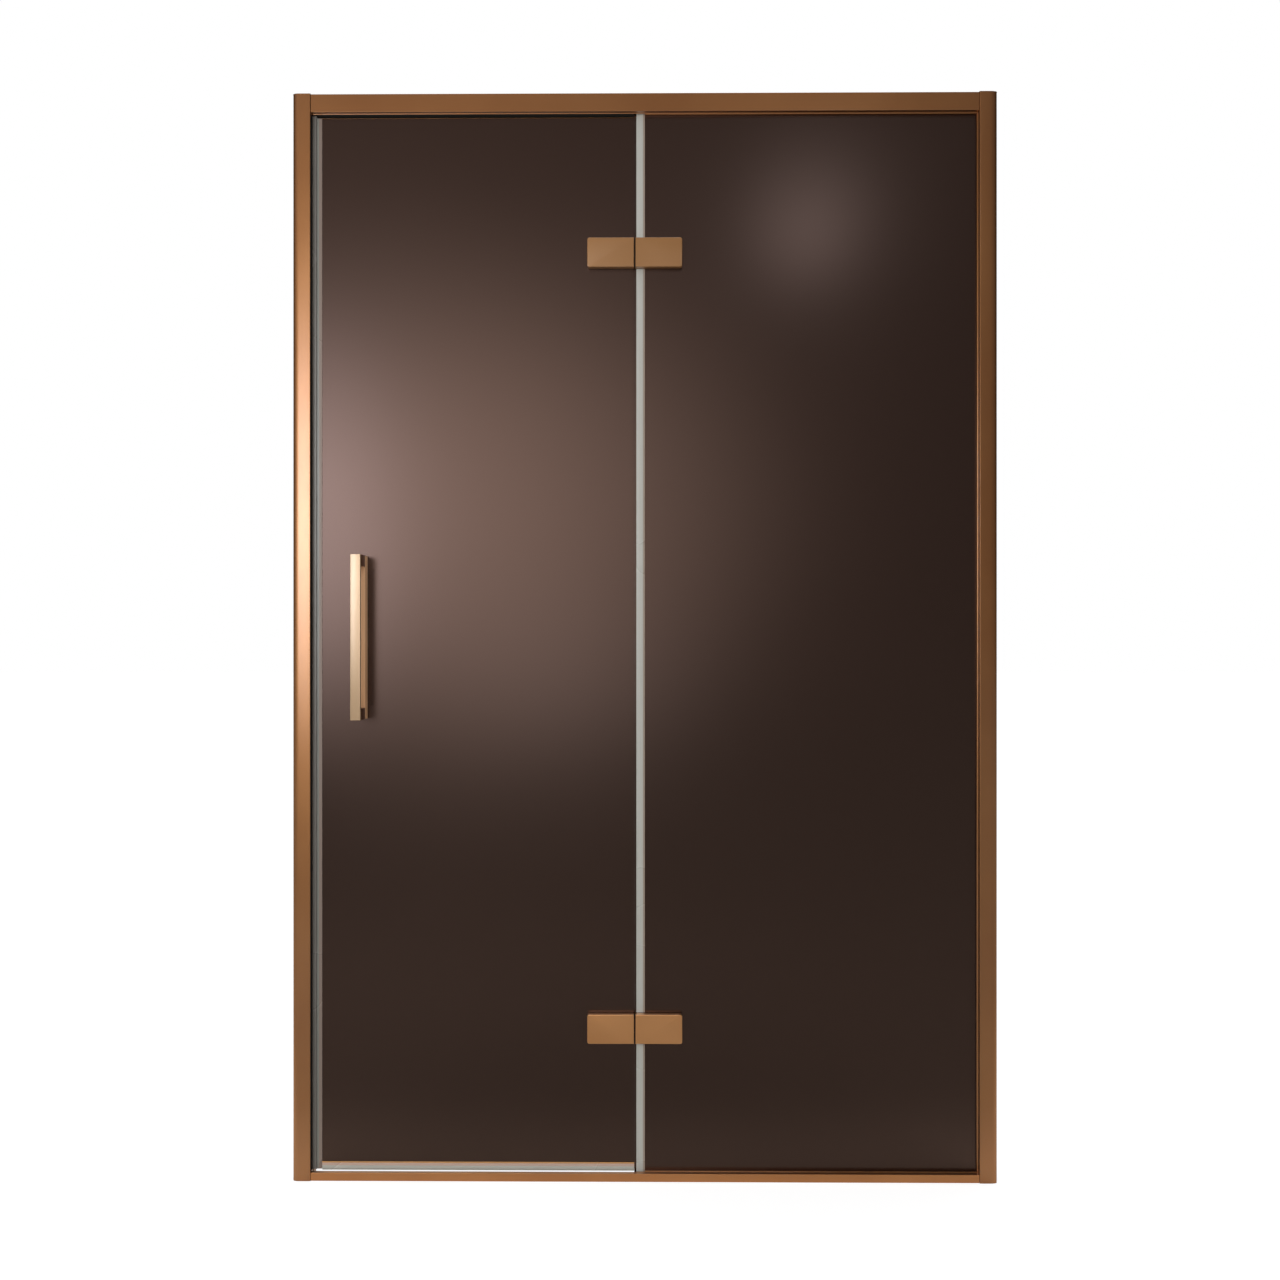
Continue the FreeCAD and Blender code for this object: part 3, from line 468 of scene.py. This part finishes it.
metalTone = {"lines": 900.0, "clouds": 8.0, "grainDepth": 0.03 * mm, "grainStrength": 0.3}
metalShades = {
    "mill": {"low": (0.55, 0.55, 0.56), "high": (0.66, 0.66, 0.67), "rough": (0.32, 0.48)},
    "steel": {"low": (0.42, 0.42, 0.42), "high": (0.55, 0.55, 0.55), "rough": (0.22, 0.38)},
}


def plainMetal(name, stretch, low, high, rough):
    # Mill aluminium and stainless steel, with drawing or turning lines.
    finish = Finish(name)
    grain = finish.group(satinGrain, Stretch=stretch, Lines=metalTone["lines"],
                         Clouds=metalTone["clouds"])
    finish.set(Base_Color=finish.blend(finish.spread(grain["Cloud"]), low, high),
               Roughness=finish.spread(grain["Grain"], rough), Metallic=1.0)
    finish.bump(grain["Grain"], metalTone["grainDepth"], metalTone["grainStrength"])
    return finish.material


copperUpright = satinCopper("copperUpright", alongZ, **copperShades["profile"])
copperLevel = satinCopper("copperLevel", alongX, **copperShades["profile"])
copperThreshold = satinCopper("copperThreshold", alongX, **copperShades["threshold"])
copperUpper = satinCopper("copperCast", evenly, **copperShades["upperHinge"])
copperLower = satinCopper("copperCastLow", evenly, **copperShades["lowerHinge"])
copperGrip = satinCopper("copperGrip", alongZ, **copperShades["grip"])
copperBase = satinCopper("copperHandleBase", alongZ, **copperShades["handleBase"])
darkGlass = bronzeGlass("bronzeGlass")
centreVinyl = softVinyl("clearSealUpright", alongZ, **sealShades["centre"])
bottomVinyl = softVinyl("clearSealLevel", alongX, **sealShades["bottom"])
strikeVinyl = softVinyl("clearSealOverGlass", alongZ, **sealShades["strike"])
magnetStrip = softVinyl("greyMagnetStrip", alongZ, **sealShades["magnet"])
paintedHighlightEdge = softVinyl("paintedHighlightSealEdge", alongX, **sealShades["paintedHighlightEdge"])
rubber = blackRubber("blackRubber")
millMetal = plainMetal("millAluminium", alongZ, **metalShades["mill"])
steelMetal = plainMetal("stainlessSteel", evenly, **metalShades["steel"])
print("finishes ready")

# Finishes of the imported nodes: the first word that a node's name holds
finishByWord = (
    ("wall_channel", millMetal),
    ("gaskets", rubber),
    ("liners", rubber),
    ("blocks", rubber),
    ("glass", darkGlass),
    ("strike_seal", magnetStrip),
    ("seal", centreVinyl),
    ("pin", steelMetal),
    ("bolts", steelMetal),
    ("lower_hinge", copperLower),
    ("hinge", copperUpper),
    ("handle", copperUpright),
    ("jamb", copperUpright),
    ("bottom_rail", copperThreshold),
    ("rail", copperLevel),
    ("pane_channel", copperLevel),
    ("infill", rubber),
)
for name, node in nodes.items():
    finish = next(material for word, material in finishByWord if word in name)
    if not node.material_slots:
        node.data.materials.append(finish)
    for slot in node.material_slots:
        slot.material = finish
print("packed nodes finished:", len(nodes))

# Seals, drawn as rounded vinyl profiles

sealShape = {
    "round": 0.35 * mm,
    "glassGap": 0.1 * mm,    # between the glass and what clips on it
    "reach": 1.6 * mm,       # of the leaf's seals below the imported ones
}
centreShape = {
    "web": 3.6 * mm, "bow": 0.35 * mm, "legSlope": 0.5 * mm, "faceSlope": 1.2 * mm,
    "lipGap": 0.1 * mm,      # between the lip and the leaf's edge
    "lipRoot": 3.0 * mm, "lipTip": 1.6 * mm, "lipRound": 0.1 * mm,
}


def centreSealPieces(node):
    # Clip on the fixed pane's edge, with a slightly bowed face towards the leaf.
    low, high = corners(node)
    ends = low[2], high[2]
    outer, right = high[1], high[0]
    inner, web = paneHigh[1] + sealShape["glassGap"], paneLow[0] - sealShape["glassGap"]
    left = web - centreShape["web"]
    bowed = left + centreShape["bow"]
    leg, face = outer - centreShape["legSlope"], outer - centreShape["faceSlope"]
    outline = roundCorners([
        (left, -face), (left, face), (bowed, outer), (right, leg), (right, inner), (web, inner),
        (web, -inner), (right, -inner), (right, -leg), (bowed, -outer),
    ], sealShape["round"])
    makePiece(node + "_profile", sweptOutline(outline, "Z", ends), centreVinyl,
              "frame", node)
    # Smoke-toned lip flush with the panes, which closes the slit between them
    front, tip = leafLow[1], leafHigh[0] + centreShape["lipGap"]
    outline = roundCorners([
        (tip, front), (bowed, front), (bowed, front + centreShape["lipRoot"]),
        (tip, front + centreShape["lipTip"]),
    ], centreShape["lipRound"])
    makePiece(node + "_lip", sweptOutline(outline, "Z", ends), darkGlass,
              "frame", smooth=False)


for part in ("lower", "middle", "upper"):
    centreSealPieces("centre_seal_" + part)

strikeShape = {
    "neckAt": 34.1 * mm, "barbAt": 32.3 * mm,    # places along X
    "stem": 2.0 * mm, "barb": 3.5 * mm,
    "groove": 0.45 * mm, "grooveTop": 1.2 * mm, "grooveFoot": 0.8 * mm, "legSlope": 0.54 * mm,
}


def strikeSealPieces():
    # Grey magnet strip, its barbed foot in the jamb's groove and a groove down its face.
    low, high = corners("strike_seal")
    neck, barbed = strikeShape["neckAt"], strikeShape["barbAt"]
    stem, barb = strikeShape["stem"], strikeShape["barb"]
    top, foot = strikeShape["grooveTop"], strikeShape["grooveFoot"]
    sunk = high[0] - strikeShape["groove"]
    outline = roundCorners([
        (high[0], -high[1]), (high[0], -top), (sunk, -foot), (sunk, foot), (high[0], top),
        (high[0], high[1]), (neck, high[1]), (neck, stem), (barbed, stem), (barbed, barb),
        (low[0], stem), (low[0], -stem), (barbed, -barb), (barbed, -stem), (neck, -stem),
        (neck, low[1]),
    ], sealShape["round"])
    makePiece("strike_seal_profile", sweptOutline(outline, "Z", (low[2], high[2])), magnetStrip,
              "frame", "strike_seal")

    # Its partner, clipped on the leaf's free edge with legs that thin to their ends
    low, high = corners("door_strike_seal")
    web, inner = leafLow[0] - sealShape["glassGap"], leafHigh[1] + sealShape["glassGap"]
    outer, leg = high[1], high[1] - strikeShape["legSlope"]
    outline = roundCorners([
        (low[0], -outer), (high[0], -leg), (high[0], -inner), (web, -inner),
        (web, inner), (high[0], inner), (high[0], leg), (low[0], outer),
    ], sealShape["round"])
    ends = low[2] - sealShape["reach"], high[2]
    makePiece("door_strike_seal_profile", sweptOutline(outline, "Z", ends), strikeVinyl,
              "door", "door_strike_seal")


strikeSealPieces()

shadeStripShape = {
    "thick": 0.25 * mm, "short": 1.0 * mm,
    "front": 16.8 * mm, "back": 6.0 * mm,    # both in front of the panes' middle
}


def jambShadeStrip():
    # Thin black strip on the left jamb's inner side: painted shade, a dark line beside the magnet
    # strip where the jamb's side is in shade.
    sealLow, sealHigh = corners("strike_seal")
    face = corners("left_jamb")[1][0]
    raised = face + shadeStripShape["thick"]
    front, back = -shadeStripShape["front"], -shadeStripShape["back"]
    outline = [(face, front), (raised, front), (raised, back), (face, back)]
    ends = sealLow[2] + shadeStripShape["short"], sealHigh[2] - shadeStripShape["short"]
    makePiece("left_jamb_shade_strip", sweptOutline(outline, "Z", ends), rubber,
              "frame", smooth=False)


jambShadeStrip()

bottomShape = {
    "web": 3.5 * mm, "trim": 2.4 * mm, "finThick": 0.9 * mm, "finInset": 0.5 * mm,
    "finRoot": 1.98 * mm,
}


def bottomSealPieces():
    # Clip under the leaf with two bent wiping fins, and a painted copper-toned highlight on its top
    # edges, the bronze glass's colour caught in the vinyl.
    low, high = corners("door_bottom_seal")
    ends = low[0], high[0]
    outer, legTop = high[1], high[2]
    inner, webTop = leafHigh[1] + sealShape["glassGap"], leafLow[2] - sealShape["glassGap"]
    webFoot, edge = leafLow[2] - bottomShape["web"], legTop - bottomShape["trim"]
    tip, foot = outer - bottomShape["finInset"], low[2] - sealShape["reach"]
    half = [
        (outer, edge), (outer, webFoot), (tip, foot), (tip - bottomShape["finThick"], foot),
        (outer - bottomShape["finRoot"], webFoot),
    ]
    outline = roundCorners(half + [(-y, z) for y, z in half[::-1]] + [
        (-inner, edge), (-inner, webTop), (inner, webTop), (inner, edge),
    ], sealShape["round"])
    makePiece("door_bottom_seal_profile", sweptOutline(outline, "X", ends), bottomVinyl,
              "door", "door_bottom_seal")
    # Painted highlight along the top edges of both legs
    edges = []
    for near, far in ((-outer, -inner), (inner, outer)):
        outline = [(near, edge), (far, edge), (far, legTop), (near, legTop)]
        edges.append(sweptOutline(roundCorners(outline, sealShape["round"]), "X", ends))
    makePiece("door_bottom_seal_highlight_edges", joined(edges), paintedHighlightEdge, "door")


bottomSealPieces()
print("seals made")

# Gaskets: wedges on both faces of the fixed pane, with a lip over the pocket's edge

gasketShape = {
    "noseAcross": 0.5 * mm, "noseAlong": 0.6 * mm, "lip": 4.0 * mm, "neckFrom": 4.6 * mm,
    "neck": 0.9 * mm, "round": 0.3 * mm,
}
beadShape = {"reach": 1.5 * mm, "drop": 1.9 * mm, "slope": 1.9 * mm, "round": 1.0 * mm}
# The front gaskets along X take the threshold's finish, whose lighter copper is painted light
gasketFront = {"X": copperThreshold, "Z": copperUpright}


def gasketPieces(node, axis, lipAtLow):
    # Sections are (across the glass, into the pocket). The upright one has a bead in front.
    low, high = corners(node)
    inner, outer = paneHigh[1] + sealShape["glassGap"], high[1]
    neck = outer - gasketShape["neck"]
    into, along = (2, 0) if axis == "X" else (0, 2)
    lip, deep = (low[into], high[into]) if lipAtLow else (high[into], low[into])
    way = 1 if lipAtLow else -1
    stem = [
        (outer, lip + gasketShape["lip"] * way), (neck, lip + gasketShape["neckFrom"] * way),
        (neck, deep), (inner, deep),
    ]
    plain = [(inner, lip), (outer - gasketShape["noseAcross"], lip),
             (outer, lip + gasketShape["noseAlong"] * way)] + stem
    tip = lip - beadShape["reach"] * way
    beaded = [(inner, tip), (outer - beadShape["drop"], tip),
              (outer, tip + beadShape["slope"] * way)] + stem
    front = (beaded, beadShape["round"]) if axis == "Z" else (plain, gasketShape["round"])
    for side, name, (section, radius), finish, slot, replaced in (
            (1, "back", (plain, gasketShape["round"]), rubber, "black_rubber", node),
            (-1, "front", front, gasketFront[axis], "copper_aluminium", None)):
        outline = [(y * side, t) if axis == "X" else (t, y * side) for y, t in section]
        shape = sweptOutline(roundCorners(outline, radius), axis, (low[along], high[along]))
        makePiece(f"{node}_{name}", shape, finish, "frame", replaced)


gasketPieces("top_gaskets", "X", True)
gasketPieces("bottom_gaskets", "X", False)
gasketPieces("jamb_gaskets", "Z", True)
print("gaskets made")

infillShape = {"grooveHalf": 5.0 * mm, "groove": 0.5 * mm, "round": 0.15 * mm}


def infillPiece():
    # Dark insert that closes the top rail's pocket over the leaf, with a shallow groove.
    low, high = corners("infill_strip")
    half, raised = infillShape["grooveHalf"], low[2] + infillShape["groove"]
    outline = roundCorners([
        (low[1], high[2]), (low[1], low[2]), (-half, low[2]), (-half, raised),
        (half, raised), (half, low[2]), (high[1], low[2]), (high[1], high[2]),
    ], infillShape["round"])
    makePiece("infill_insert", sweptOutline(outline, "X", (low[0], high[0])), rubber,
              "frame", "infill_strip")


infillPiece()
print("infill made")

# Handles: bars with eased edges on two feet

handleShape = {"gripEdge": 0.7 * mm, "footEdge": 0.35 * mm, "baseEdge": 0.6 * mm,
               "footTall": 21 * mm}


def handlePieces(side):
    for part, edge, finish in (("base", "baseEdge", copperBase), ("grip", "gripEdge", copperGrip)):
        node = f"{side}_handle_{part}"
        makePiece(node + "_bar", roundedBox(*corners(node), handleShape[edge]), finish,
                  "door", node)
    node = f"{side}_handle_feet"
    low, high = corners(node)
    feet = []
    for bottom in (low[2], high[2] - handleShape["footTall"]):
        feet.append(roundedBox((*low[:2], bottom), (*high[:2], bottom + handleShape["footTall"]),
                               handleShape["footEdge"]))
    makePiece(node + "_blocks", joined(feet), copperUpright, "door", node)


for side in ("outer", "inner"):
    handlePieces(side)
print("handles made")

# Hinges: clamp screws in the recesses of the back plates and a bumper in the front split

screwShape = {
    "headRadius": 4.25 * mm, "headHeight": 3.4 * mm, "rim": 0.68 * mm,
    "sides": 48, "rimLines": 5,
    "socketAcross": 4.0 * mm, "socketDeep": 2.2 * mm, "socketLead": 0.15 * mm,
    "pointDeep": 0.22 * mm, "pointShare": 0.05,    # the cone in the socket's floor
    "pitch": 12 * mm, "recessDepth": 4.5 * mm, "bossInset": 4.5 * mm, "bossLength": 25 * mm,
}


def socketScrew(x, seat, z):
    # Rings round the screw's axis: skirt, rounded rim, flat top, socket wall and floor.
    # In the socket the radius follows a hexagon: the apothem over the cosine of the angle to
    # the nearest flat.
    angle = np.arange(screwShape["sides"]) * 2 * math.pi / screwShape["sides"]
    nearFlat = (angle + math.pi / 6) % (math.pi / 3) - math.pi / 6
    hexagon = screwShape["socketAcross"] / 2 / np.cos(nearFlat)
    radius, top, rim = screwShape["headRadius"], screwShape["headHeight"], screwShape["rim"]
    lead, floor = screwShape["socketLead"], top - screwShape["socketDeep"]
    turn = np.linspace(0, math.pi / 2, screwShape["rimLines"])
    circles = np.concatenate([[radius], radius - rim + rim * np.cos(turn)])
    radii = np.vstack([
        circles[:, None] * np.ones(len(angle)), hexagon + lead, hexagon, hexagon,
        screwShape["pointShare"] * hexagon,
    ])
    heights = np.concatenate([
        [0], top - rim + rim * np.sin(turn),
        [top, top - lead, floor, floor - screwShape["pointDeep"]],
    ])
    y = np.repeat((seat + heights)[:, None], len(angle), axis=1)
    points = np.stack([x + radii * np.cos(angle), y, z + radii * np.sin(angle)], -1)
    last = np.arange(len(angle)) + (len(heights) - 1) * len(angle)
    return points.reshape(-1, 3), list(gridQuads(*radii.shape)[:, ::-1]) + [last]


def clampScrews(level, half):
    low, high = corners(f"{level}_hinge_{half}_front")
    middle = (low[2] + high[2]) / 2
    inwards = screwShape["bossInset"] + screwShape["bossLength"] / 2
    x = leafHigh[0] - inwards if half == "door" else paneLow[0] + inwards
    seat = -low[1] - screwShape["recessDepth"]
    screws = [socketScrew(x, seat, middle + way * screwShape["pitch"] / 2) for way in (-1, 1)]
    makePiece(f"{level}_hinge_{half}_screws", joined(screws), steelMetal,
              "door" if half == "door" else "frame")


bumperShape = {"gap": 0.4 * mm, "setBack": 2.0 * mm, "deep": 3.5 * mm, "short": 0.4 * mm,
               "edge": 0.3 * mm}


def hingeBumper(level):
    # Rubber strip in the split between the two front plates, held by the fixed one.
    left = corners(f"{level}_hinge_door_front")[1][0] + bumperShape["gap"]
    low, high = corners(f"{level}_hinge_fixed_front")
    front = low[1] + bumperShape["setBack"]
    shape = roundedBox(
        (left, front, low[2] + bumperShape["short"]),
        (low[0], front + bumperShape["deep"], high[2] - bumperShape["short"]), bumperShape["edge"])
    makePiece(f"{level}_hinge_bumper", shape, rubber, "frame")


for level in ("upper", "lower"):
    hingeBumper(level)
    for half in ("door", "fixed"):
        clampScrews(level, half)
print("screws made")

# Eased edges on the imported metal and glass: a merged copy of each mesh, bevelled (widths in mm)

easedEdges = {
    "left_jamb": 0.25, "right_jamb": 0.25, "top_rail": 0.35, "bottom_rail": 0.4,
    "left_jamb_cap": 0.3, "right_jamb_cap": 0.3, "pane_channel": 0.3,
    "door_glass": 0.6, "fixed_glass": 0.6,
}
for level in ("upper", "lower"):
    for half in ("door", "fixed"):
        easedEdges[f"{level}_hinge_{half}_front"] = 0.6
        easedEdges[f"{level}_hinge_{half}_back"] = 0.2

easing = {"merge": 0.01 * mm, "flat": math.radians(1), "segments": 2}
jambRound = {"packed": 12 * mm, "deep": 5 * mm, "slack": 0.05 * mm, "tiny": 0.001 * mm}


def flattenRound(work, name):
    # A point at angle t on the jamb's outer round, centre + R (cos t, sin t), goes to
    # (R cos t, b sin t) of a flatter, elliptical round in the same corner.
    low, high = corners(name)
    big, deep = jambRound["packed"], jambRound["deep"]
    points = np.array([vert.co for vert in work.verts])
    fromSide = points[:, 0] - low[0] if name.startswith("left") else high[0] - points[:, 0]
    across, out = fromSide - big, np.abs(points[:, 1]) - (high[1] - big)
    onRound = np.abs(np.hypot(across, out) - big) < jambRound["slack"]
    onRound &= (across < jambRound["tiny"]) & (out > -jambRound["tiny"])
    newY = np.sign(points[:, 1]) * (high[1] - deep + out * deep / big)
    for index in np.nonzero(onRound)[0]:
        work.verts[index].co.y = newY[index]


def easeEdges(name, width):
    node = nodes[name]
    work = bmesh.new()
    work.from_mesh(node.data)
    bmesh.ops.remove_doubles(work, verts=work.verts, dist=easing["merge"])
    work.verts.ensure_lookup_table()
    if "jamb" in name:
        flattenRound(work, name)
    bmesh.ops.dissolve_limit(work, angle_limit=easing["flat"], verts=work.verts,
                             edges=work.edges)
    mesh = bpy.data.meshes.new(name + "_eased")
    work.to_mesh(mesh)
    work.free()
    piece = addPiece(name + "_eased", mesh, node.material_slots[0].material,
                     body_of(node)[0])
    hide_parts(name)
    bevel = piece.modifiers.new("ease", "BEVEL")
    bevel.width = width * mm
    bevel.segments = easing["segments"]
    bevel.limit_method = "ANGLE"
    bevel.angle_limit = sharpAngle
    bevel.harden_normals = True


for name, width in easedEdges.items():
    easeEdges(name, width)
print("edges eased")

# Camera at the photograph's place

cameraView = {"place": (0.6540, -1.9680, 0.9950), "aim": (-0.00707, 1.0, 0.0), "lens": 29.9,
              "sensor": 36}
cameraData = bpy.data.cameras.new("camera")
cameraData.lens = cameraView["lens"]
cameraData.sensor_width = cameraView["sensor"]
camera = bpy.data.objects.new("camera", cameraData)
camera.location = cameraView["place"]
camera.rotation_euler = Vector(cameraView["aim"]).to_track_quat("-Z", "Y").to_euler()
bpy.context.scene.collection.objects.link(camera)
bpy.context.scene.camera = camera

# Soft lamps with a bright middle; the camera doesn't see them, the glass and metal do

lampColour = (0.97, 1.0, 1.03)
lamps = {
    "leftBox": {"place": (-0.62, -2.00, 1.45), "size": (0.90, 1.90), "glow": 4.4,
                "tone": (0.92, 1.0, 1.14)},
    "wideBox": {"place": (-0.20, -2.05, 1.52), "size": (3.40, 2.45), "glow": 2.2,
                "tone": (1.0, 0.93, 0.85)},
    "lowBox": {"place": (0.29, -2.00, 0.85), "size": (1.60, 1.00), "glow": 0.6},
    "highSpot": {"place": (1.25, -2.00, 2.54), "size": (0.50, 0.50), "glow": 4.4},
    "rearLeft": {"place": (-1.90, 2.50, 2.20), "size": (2.00, 2.00), "glow": 2.6,
                 "aim": (0.72, -0.68, -0.12)},
    "rearRight": {"place": (3.20, 2.40, 1.90), "size": (2.40, 2.40), "glow": 3.2,
                  "aim": (-0.72, -0.68, -0.12)},
    "topBox": {"place": (0.65, -0.20, 3.40), "size": (2.40, 1.40), "glow": 2.6,
               "aim": (0, 0, -1)},
}


def hangLamp(name, place, size, glow, aim=(0, 1, 0), tone=lampColour):
    # The glow falls smoothly from the middle of the panel, (0.5, 0.5) on it, to its edges.
    data = bpy.data.lights.new(name, "AREA")
    data.shape = "RECTANGLE"
    data.size, data.size_y = size
    data.energy = glow * math.pi * size[0] * size[1]
    data.color = tone
    data.use_nodes = True
    tree = data.node_tree
    fromMiddle = tree.nodes.new("ShaderNodeVectorMath")
    fromMiddle.operation = "DISTANCE"
    fromMiddle.inputs[1].default_value = (0.5, 0.5, 0)
    panel = tree.nodes.new("ShaderNodeNewGeometry")
    feed(tree, panel.outputs["Parametric"], fromMiddle.inputs[0])
    fade = ramp(tree, fromMiddle.outputs["Value"], (0, 0.5), (1, 0), smooth=True)
    feed(tree, fade, tree.nodes["Emission"].inputs["Strength"])
    lamp = bpy.data.objects.new(name, data)
    lamp.location = place
    lamp.rotation_euler = Vector(aim).to_track_quat("-Z", "Y").to_euler()
    lamp.visible_camera = False
    lamp.visible_transmission = False
    bpy.context.scene.collection.objects.link(lamp)


for name, lamp in lamps.items():
    hangLamp(name, **lamp)

# Pale room: white to the camera and behind the door, a dim studio in front of it

room = {
    "frontSpan": (-0.4, 0.4), "front": (0.41, 0.16),    # mirrored brightness along X in front
    "sideSpan": (-0.72, -0.40), "side": (1, 0.22),      # share of it left towards the sides
    "behindSpan": (0.97, 1.0),                          # where the white behind sets in along Y
    "warmth": (1.0, 0.83, 0.71), "diffuse": 0.60,
}


def blendShaders(tree, factor, first, second):
    node = tree.nodes.new("ShaderNodeMixShader")
    feed(tree, factor, node.inputs["Fac"])
    feed(tree, first, node.inputs[1])
    feed(tree, second, node.inputs[2])
    return node.outputs[0]


def makeRoom():
    world = bpy.data.worlds.new("room")
    world.use_nodes = True
    bpy.context.scene.world = world
    tree = world.node_tree
    direction = splitAxes(tree, tree.nodes.new("ShaderNodeTexCoord").outputs["Generated"])
    front = ramp(tree, direction["X"], room["frontSpan"], room["front"])
    side = ramp(tree, direction["Y"], room["sideSpan"], room["side"], smooth=True)
    mirrored = tree.nodes.new("ShaderNodeMix")
    behind = ramp(tree, direction["Y"], room["behindSpan"], smooth=True)
    feed(tree, behind, mirrored.inputs["Factor"])
    feed(tree, combine(tree, "MULTIPLY", front, side), mirrored.inputs["A"])
    feed(tree, 1, mirrored.inputs["B"])
    dim = tree.nodes["Background"]
    mirror = tree.nodes.new("ShaderNodeBackground")
    white = tree.nodes.new("ShaderNodeBackground")
    for background, tone, strength in ((dim, (1, 1, 1), room["diffuse"]),
                                       (mirror, room["warmth"], mirrored.outputs["Result"]),
                                       (white, (1, 1, 1), 1)):
        feed(tree, (*tone, 1), background.inputs["Color"])
        feed(tree, strength, background.inputs["Strength"])
    rays = tree.nodes.new("ShaderNodeLightPath").outputs
    seen = combine(tree, "MAXIMUM", rays["Is Camera Ray"], rays["Is Transmission Ray"])
    unseen = blendShaders(tree, rays["Is Glossy Ray"], dim.outputs[0], mirror.outputs[0])
    surface = blendShaders(tree, seen, unseen, white.outputs[0])
    feed(tree, surface, tree.nodes["World Output"].inputs["Surface"])


makeRoom()

floorTone = {
    "near": (0.92, 0.84, 0.73), "far": (0.50, 0.45, 0.39),
    "fade": (0.06, 0.42),    # how far from the door along Y it darkens
    "roughness": 0.9,
    "seen": (0.40, 0.40, 0.40), "seenGlow": 0.80,    # to the camera: white less the shadow
    "reach": 30.0, "level": -0.6 * mm,
}


def makeFloor():
    # A flat square far wider than the view.
    reach, level = floorTone["reach"], floorTone["level"]
    mesh = bpy.data.meshes.new("floor")
    mesh.from_pydata([(-reach, -reach, level), (reach, -reach, level),
                      (reach, reach, level), (-reach, reach, level)], [], [(0, 1, 2, 3)])
    floor = bpy.data.objects.new("floor", mesh)
    bpy.context.scene.collection.objects.link(floor)
    material = bpy.data.materials.new("paleFloor")
    material.use_nodes = True
    tree = material.node_tree
    place = tree.nodes.new("ShaderNodeTexCoord").outputs["Object"]
    distance = tree.nodes.new("ShaderNodeMath")
    distance.operation = "ABSOLUTE"
    feed(tree, splitAxes(tree, place)["Y"], distance.inputs[0])
    fade = ramp(tree, distance.outputs[0], floorTone["fade"], smooth=True)
    plain = tree.nodes["Principled BSDF"]
    # Painted shade: the floor's tone darkens away from the door, so that glass and metal mirror a
    # dimmer floor further out
    tone = mixColours(tree, fade, floorTone["near"], floorTone["far"])
    feed(tree, tone, plain.inputs["Base Color"])
    feed(tree, floorTone["roughness"], plain.inputs["Roughness"])
    shown = tree.nodes.new("ShaderNodeBsdfDiffuse")
    feed(tree, (*floorTone["seen"], 1), shown.inputs["Color"])
    glow = tree.nodes.new("ShaderNodeEmission")
    feed(tree, floorTone["seenGlow"], glow.inputs["Strength"])
    seen = tree.nodes.new("ShaderNodeAddShader")
    feed(tree, shown.outputs[0], seen.inputs[0])
    feed(tree, glow.outputs[0], seen.inputs[1])
    isCamera = tree.nodes.new("ShaderNodeLightPath").outputs["Is Camera Ray"]
    surface = blendShaders(tree, isCamera, plain.outputs[0], seen.outputs[0])
    feed(tree, surface, tree.nodes["Material Output"].inputs["Surface"])
    mesh.materials.append(material)


makeFloor()
bpy.context.scene.view_settings.view_transform = "Standard"
print("camera, lamps and room ready")

bpy.context.view_layer.update()
